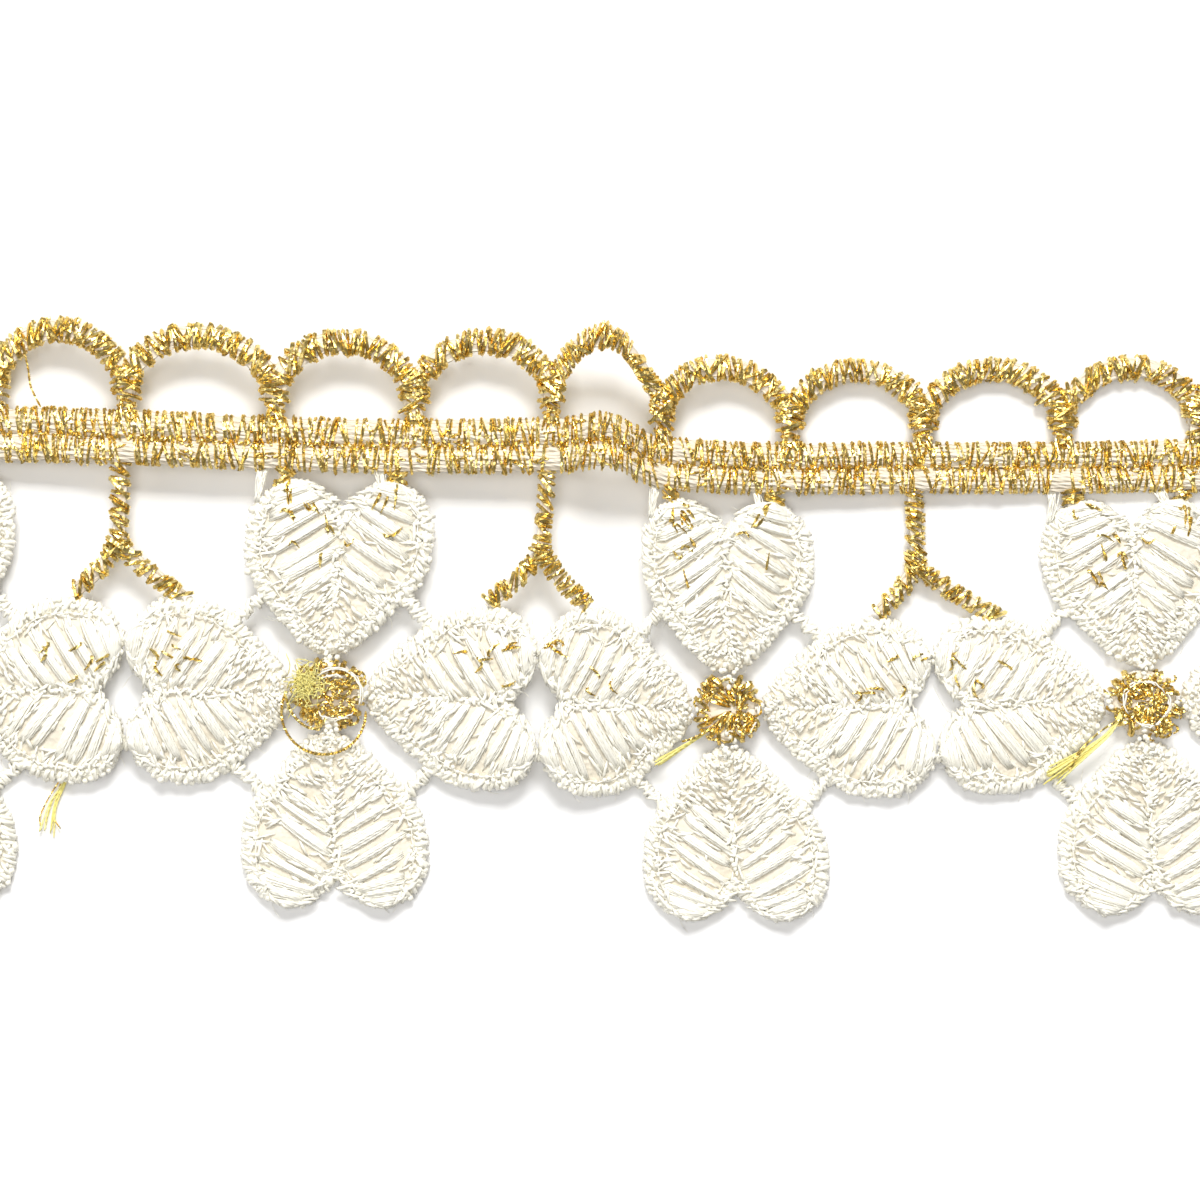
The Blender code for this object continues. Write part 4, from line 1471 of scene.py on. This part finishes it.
class BRAID_OT_stitch_flowers(bpy.types.Operator):
    """Stitches each ivory flower: padding, satin bundles, beaded edges and links"""

    bl_idname = "braid.stitch_flowers"
    bl_label = "Stitch the flowers"

    def execute(self, context):
        for flower in range(REPEATS):
            ground, satin, edge = Skein(100 + flower), Skein(200 + flower), Skein(300 + flower)
            for petal in PETALS:
                add_ground(ground, flower, petal)
                add_satin(satin, flower, petal)
                add_short_stitches(satin, flower, petal)
                add_edge(edge, flower, petal)
                add_vein(edge, flower, petal)
                add_fibres(edge, flower, petal)
            self.add_links(edge, flower)
            self.add_strands(edge, flower)
            number = flower + 1
            padding = ground.make(
                f"petal_padding_{number}", "ivory_padding_stitches", f"ivory_flower_{number}"
            )
            stitches = satin.make(f"satin_stitches_{number}", "ivory_satin_thread")
            rims = edge.make(f"beaded_edges_{number}", "ivory_edge_thread")
            top, left, bottom, right = (petal["length"] for petal in PETALS)
            across = (left + right + 2 * TIP_RADIUS) * MM
            down = (top + bottom + 2 * TIP_RADIUS) * MM
            cloth = sum(outline_area(petal_outline(petal)) for petal in PETALS) * MM**2
        self.add_flecks()
        return {"FINISHED"}

    def add_links(self, skein, flower):
        for line in link_lines(flower):
            padded_cord(
                skein, line, width=0.5, thickness=0.45, back=0.15, step=0.6, sides=6, strands=0
            )
            wind_ivory(
                skein, line, width=0.75, thickness=0.72, back=0.05, pitch=0.26, thick=1.1,
                lean_spread=0.6, ragged=0.25,
            )
            spot, _ = stations_on(line, 0.5, skein.draw)
            skein.beads(level(spot, 0.65), skein.draw.uniform(0.35, 0.6, (len(spot), 3)))
        if flower < REPEATS - 1:
            for line in neighbour_lines(flower):
                wind_ivory(
                    skein, line, width=0.8, thickness=0.75, back=0.05, pitch=0.24, thick=1.1,
                    lean_spread=0.6, ragged=0.2,
                )

    def add_strands(self, skein, flower):
        """The slack ivory threads between the header and the top petal."""
        draw, along = skein.draw, flower_along(flower)
        for strand in STRANDS:
            for _ in range(STRAND_THREADS):
                top = (along + strand["from_along"] + draw.normal(0, 0.3), -1.5, 0.7)
                foot_along = along + strand["to_along"] + draw.normal(0, 0.12)
                foot = (foot_along, strand["to_across"], 0.95)
                path = bowed(top, foot, draw.uniform(0.0, 0.3), 8, sag=draw.normal(0, 0.16, 2))
                skein.threads(path[None], draw.uniform(0.07, 0.15))

    def add_flecks(self):
        """The gold pass shows in the top petals and in the upper lobes of the side petals."""
        flecks = Skein(600)
        for flower in range(REPEATS):
            for lobe in FLECKED_LOBES:
                petal = next(petal for petal in PETALS if petal["points_to"] == lobe["points_to"])
                add_gold_flecks(flecks, flower, petal, lobe["half"], lobe["count"])
        flecks.make("gold_flecks", "gold_metal_film")


def ring_line(flower, radius, start=0.0, end=360.0, count=60, middle=(0.0, 0.0)):
    """An arc round the middle of a flower, from one angle in degrees to another."""
    turn = np.radians(np.linspace(start, end, count))
    along = flower_along(flower) + middle[0] + radius * np.cos(turn)
    return np.stack([along, FLOWER_LINE + middle[1] + radius * np.sin(turn)], axis=1)


class BRAID_OT_stitch_centres(bpy.types.Operator):
    """Stitches the round gold button in the middle of each flower"""

    bl_idname = "braid.stitch_centres"
    bl_label = "Stitch the centres"

    def execute(self, context):
        arcs = Skein(700)
        for flower in range(REPEATS):
            number = flower + 1
            centre = CENTRES[flower]
            pad, gold = Skein(400 + flower), Skein(500 + flower)
            padded_cord(
                pad, ring_line(flower, 2.05), width=0.9, thickness=1.0, back=0.2, step=0.5,
                strands=2,
            )
            self.add_dome(pad, flower)
            for quarter in range(4):
                start = 90 * quarter + pad.draw.uniform(12, 20)
                line = ring_line(flower, 2.2, start, start + pad.draw.uniform(56, 68), 12)
                wind_gold(
                    gold, line, width=1.1, thickness=1.45, back=0.06, pitch=0.4, thick=1.35,
                    flatness=(0.7, 1.0), lean_spread=0.5, ragged=0.06,
                )
            self.add_curls(gold, flower, RIM_CURLS, (1.8, centre["reach"]))
            if centre["fans"]:
                self.add_fans(gold, flower)
            self.add_curls(gold, flower, centre["curls"], (0.0, 1.9))
            self.add_arcs(arcs, flower, centre["arcs"], centre["over"])
            self.add_tip_knots(arcs, flower)
            pad.make(f"centre_padding_{number}", "beige_padding_cotton", f"gold_centre_{number}")
            gold.make(f"centre_windings_{number}", "gold_metal_film")
        arcs.make("centre_ivory_threads", "ivory_edge_thread")
        return {"FINISHED"}

    def add_dome(self, skein, flower, spokes=20, rings=5):
        """The low felted middle of the button."""
        points = [(flower_along(flower), FLOWER_LINE, 1.3)]
        for ring in range(1, rings + 1):
            out = ring / rings
            line = ring_line(flower, 2.0 * out, 0, 360 - 360 / spokes, spokes)
            points.extend(level(line, 1.3 - 0.75 * out**2 + skein.draw.normal(0, 0.04, spokes)))
        points.append((flower_along(flower), FLOWER_LINE, 0.05))
        skein.shape(np.array(points), capped_belts(rings, spokes), 0.7)

    def add_fans(self, skein, flower):
        """Straight stitches that fan out up and down from a spot right of the middle."""
        draw = skein.draw
        heart = np.array([flower_along(flower) + FAN_HEART, FLOWER_LINE])
        for fan in FANS:
            even = np.linspace(fan["low"], fan["high"], fan["count"])
            for angle in even + draw.normal(0, 3, fan["count"]):
                rim = ring_line(flower, draw.uniform(1.7, 1.95), angle, angle, 1)[0]
                start = heart + (rim - heart) * draw.uniform(0.12, 0.3)
                path = bowed((*start, 1.42), (*rim, 1.25), draw.uniform(0.05, 0.2), 6)
                skein.strand(path, (0.24, 0.36), (0.15, 0.4))

    def add_curls(self, skein, flower, count, between):
        """Loose curls of gold on the button, between two distances from its middle."""
        draw = skein.draw
        for _ in range(count):
            out = math.sqrt(draw.uniform(between[0] ** 2, between[1] ** 2))
            angle = draw.uniform(0, 360)
            spot = ring_line(flower, out, angle, angle, 1)[0]
            start, sweep = draw.uniform(0, 360), draw.uniform(120, 260)
            turn = np.radians(np.linspace(start, start + sweep, 9))
            radius = draw.uniform(0.3, 0.75)
            line = spot + radius * np.stack([np.cos(turn), 0.7 * np.sin(turn)], axis=1)
            path = level(line, 1.4 + 0.2 * np.sin(np.linspace(0, math.pi, 9)))
            skein.strand(path, (0.2, 0.3), (0.4, 1.2))

    def add_arcs(self, skein, flower, arcs, over, steps=16):
        """The ivory threads that run over the gold from petal tip to petal tip."""
        draw = skein.draw
        for arc in arcs:
            for _ in range(2):
                radius = arc["radius"] + draw.normal(0, 0.12)
                start, end = np.array([arc["start"], arc["end"]]) + draw.normal(0, 12, 2)
                line = ring_line(flower, radius, start, end, steps, arc["middle"])
                line = line + draw.normal(0, 0.05, line.shape)
                path = level(line, over + 0.1 * np.sin(np.linspace(0, 3 * math.pi, steps)))
                skein.threads(path[None], draw.uniform(0.12, 0.18), sides=5)

    def add_tip_knots(self, skein, flower):
        """Ivory knots that fasten the petals' tips to the button."""
        draw = skein.draw
        for tip in TIP_KNOTS:
            for _ in range(tip["count"]):
                turn = tip["angle"] + draw.normal(0, 7)
                spot = ring_line(flower, draw.uniform(tip["reach"], 3.5), turn, turn, 1)
                skein.beads(level(spot, draw.uniform(1.15, 1.5)), draw.uniform(0.35, 0.6, (1, 3)))


class BRAID_OT_lay_loose_ends(bpy.types.Operator):
    """Lays the slack gold loop, the frayed ends and the loose gold threads"""

    bl_idname = "braid.lay_loose_ends"
    bl_label = "Lay the loose ends"

    def execute(self, context):
        gold, tails = Skein(800), Skein(801)
        self.add_slack_loop(gold)
        for thread in LOOSE_THREADS:
            self.add_frayed(gold if thread["gold"] else tails, thread)
        self.add_fluff(tails)
        gold.make("loose_gold_threads", "gold_metal_film", in_place=True)
        tails.make("frayed_core_threads", "pale_yellow_core_thread", in_place=True)
        return {"FINISHED"}

    def add_slack_loop(self, skein, steps=90):
        """The loop of gold thread that lies slack round one button."""
        turn = np.radians(np.linspace(SLACK_LOOP["start"], SLACK_LOOP["end"], steps))
        middle = (SLACK_LOOP["x"], SLACK_LOOP["y"])
        circle = middle + SLACK_LOOP["radius"] * np.stack([np.cos(turn), np.sin(turn)], axis=1)
        height = np.interp(np.arange(steps), (0, 12, 60, steps - 1), (2.7, 2.2, 1.9, 2.5))
        skein.threads(level(circle, height)[None], 0.28, 0.2, turns=13)

    def add_frayed(self, skein, thread):
        """A loose end whose strands spread out more and more on their way."""
        middle = spline_points([tuple(row.values()) for row in thread["rows"]], THREAD_STEPS)
        opening = np.linspace(0.1, 1, THREAD_STEPS)[:, None] ** 2
        turns = 8 if thread["gold"] else 0
        for _ in range(thread["strands"]):
            fray = opening * skein.draw.normal(0, thread["fray"], 3)
            fray[:, 2] = np.abs(fray[:, 2]) * 0.4
            path = middle + fray + skein.draw.normal(0, 0.03, 3)
            path[:, 2] = np.maximum(path[:, 2], 0.15)
            skein.threads(path[None], thread["width"], thread["width"] * 0.8, turns=turns)

    def add_fluff(self, skein):
        """The tangle of fine yellow fibres on one button."""
        draw = skein.draw
        middle = np.array([FLUFF["x"], FLUFF["y"]])
        for _ in range(FLUFF["fibres"]):
            spot = middle + draw.normal(0, FLUFF["reach"] / 2, 2) * (0.7, 1.0)
            sway = draw.normal(0, 0.45, (3, 2))
            line = level(spot + np.cumsum(sway, axis=0), FLUFF["rise"] + draw.normal(0, 0.15, 3))
            skein.threads(spline_points(line, 8)[None], draw.uniform(0.06, 0.12), sides=3)


class BRAID_OT_set_stage(bpy.types.Operator):
    """Sets the pale floor, the soft lights and the camera straight above"""

    bl_idname = "braid.set_stage"
    bl_label = "Set the stage"

    VIEW_MIDDLE = (0.0, 2.1)
    VIEW_WIDTH = 93.6
    LENS = 100.0
    SENSOR = 36.0
    # Where each light stands and its sides, in metres, and its power in watts
    LIGHTS = rows_of(
        "name place size power",
        ("key_softbox", (0.02, 0.36, 0.42), (0.22, 0.16), 2.85),
        ("top_softbox", (-0.05, -0.02, 0.62), (0.34, 0.34), 1.65),
        ("left_softbox", (-0.45, -0.05, 0.30), (0.20, 0.30), 0.4),
    )
    SKY_COLOUR = (1.0, 0.955, 0.90, 1.0)
    SKY_STRENGTH = 0.2

    def execute(self, context):
        scene = context.scene
        bpy.ops.mesh.primitive_plane_add(size=3.0, location=(0, 0, 0))
        floor = context.object
        floor.name = "pale_floor"
        floor.data.materials.append(looks()["pale_paper_floor"])
        floor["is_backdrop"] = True
        middle = (np.array([*self.VIEW_MIDDLE, 0.0]) + ORIGIN) * MM
        camera = bpy.data.cameras.new("camera")
        camera.lens, camera.sensor_width = self.LENS, self.SENSOR
        camera.clip_start = 0.01
        stand = bpy.data.objects.new("camera", camera)
        distance = self.VIEW_WIDTH * MM * self.LENS / self.SENSOR
        stand.location = (middle[0], middle[1], distance + 0.001)
        scene.collection.objects.link(stand)
        scene.camera = stand
        for light in self.LIGHTS:
            self.add_light(**light)
        world = bpy.data.worlds.new("studio")
        world.use_nodes = True
        sky = world.node_tree.nodes["Background"]
        sky.inputs["Color"].default_value = self.SKY_COLOUR
        sky.inputs["Strength"].default_value = self.SKY_STRENGTH
        scene.world = world
        scene.view_settings.view_transform = "Standard"
        return {"FINISHED"}

    def add_light(self, name, place, size, power):
        lamp = bpy.data.lights.new(name, "AREA")
        lamp.shape = "RECTANGLE"
        lamp.size, lamp.size_y = size
        lamp.energy = power
        made = bpy.data.objects.new(name, lamp)
        made.location = place
        made.rotation_euler = (-Vector(place)).to_track_quat("-Z", "Y").to_euler()
        bpy.context.scene.collection.objects.link(made)


class BRAID_PT_panel(bpy.types.Panel):
    """The sidebar panel that lists the steps and the sizes"""

    bl_label = "Flower lace braid"
    bl_idname = "BRAID_PT_panel"
    bl_space_type = "VIEW_3D"
    bl_region_type = "UI"
    bl_category = "Lace"

    def draw(self, context):
        for step in STEPS:
            self.layout.operator(step.bl_idname)
        for group in (context.scene.braid_sizes, context.scene.braid_colours):
            for name in group.bl_rna.properties.keys():
                if name not in ("rna_type", "name"):
                    self.layout.prop(group, name)


STEPS = (
    BRAID_OT_pad_header,
    BRAID_OT_wind_header,
    BRAID_OT_wind_loops,
    BRAID_OT_wind_bars,
    BRAID_OT_stitch_flowers,
    BRAID_OT_stitch_centres,
    BRAID_OT_lay_loose_ends,
    BRAID_OT_set_stage,
)
CLASSES = (BraidColours, BraidSizes, *STEPS, BRAID_PT_panel)


def register():
    for kind in CLASSES:
        bpy.utils.register_class(kind)
    bpy.types.Scene.braid_colours = PointerProperty(type=BraidColours)
    bpy.types.Scene.braid_sizes = PointerProperty(type=BraidSizes)


def unregister():
    del bpy.types.Scene.braid_sizes
    del bpy.types.Scene.braid_colours
    for kind in reversed(CLASSES):
        bpy.utils.unregister_class(kind)


def main():
    register()
    bpy.ops.braid.set_stage()
    bpy.ops.braid.pad_header()
    bpy.ops.braid.wind_header()
    bpy.ops.braid.wind_loops()
    bpy.ops.braid.wind_bars()
    bpy.ops.braid.stitch_flowers()
    bpy.ops.braid.stitch_centres()
    bpy.ops.braid.lay_loose_ends()
    boxes = {"cad": CAD_BOX, "visual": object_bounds()}
    boxes = {name: [list(map(float, corner)) for corner in box] for name, box in boxes.items()}


if __name__ == "__main__":
    main()
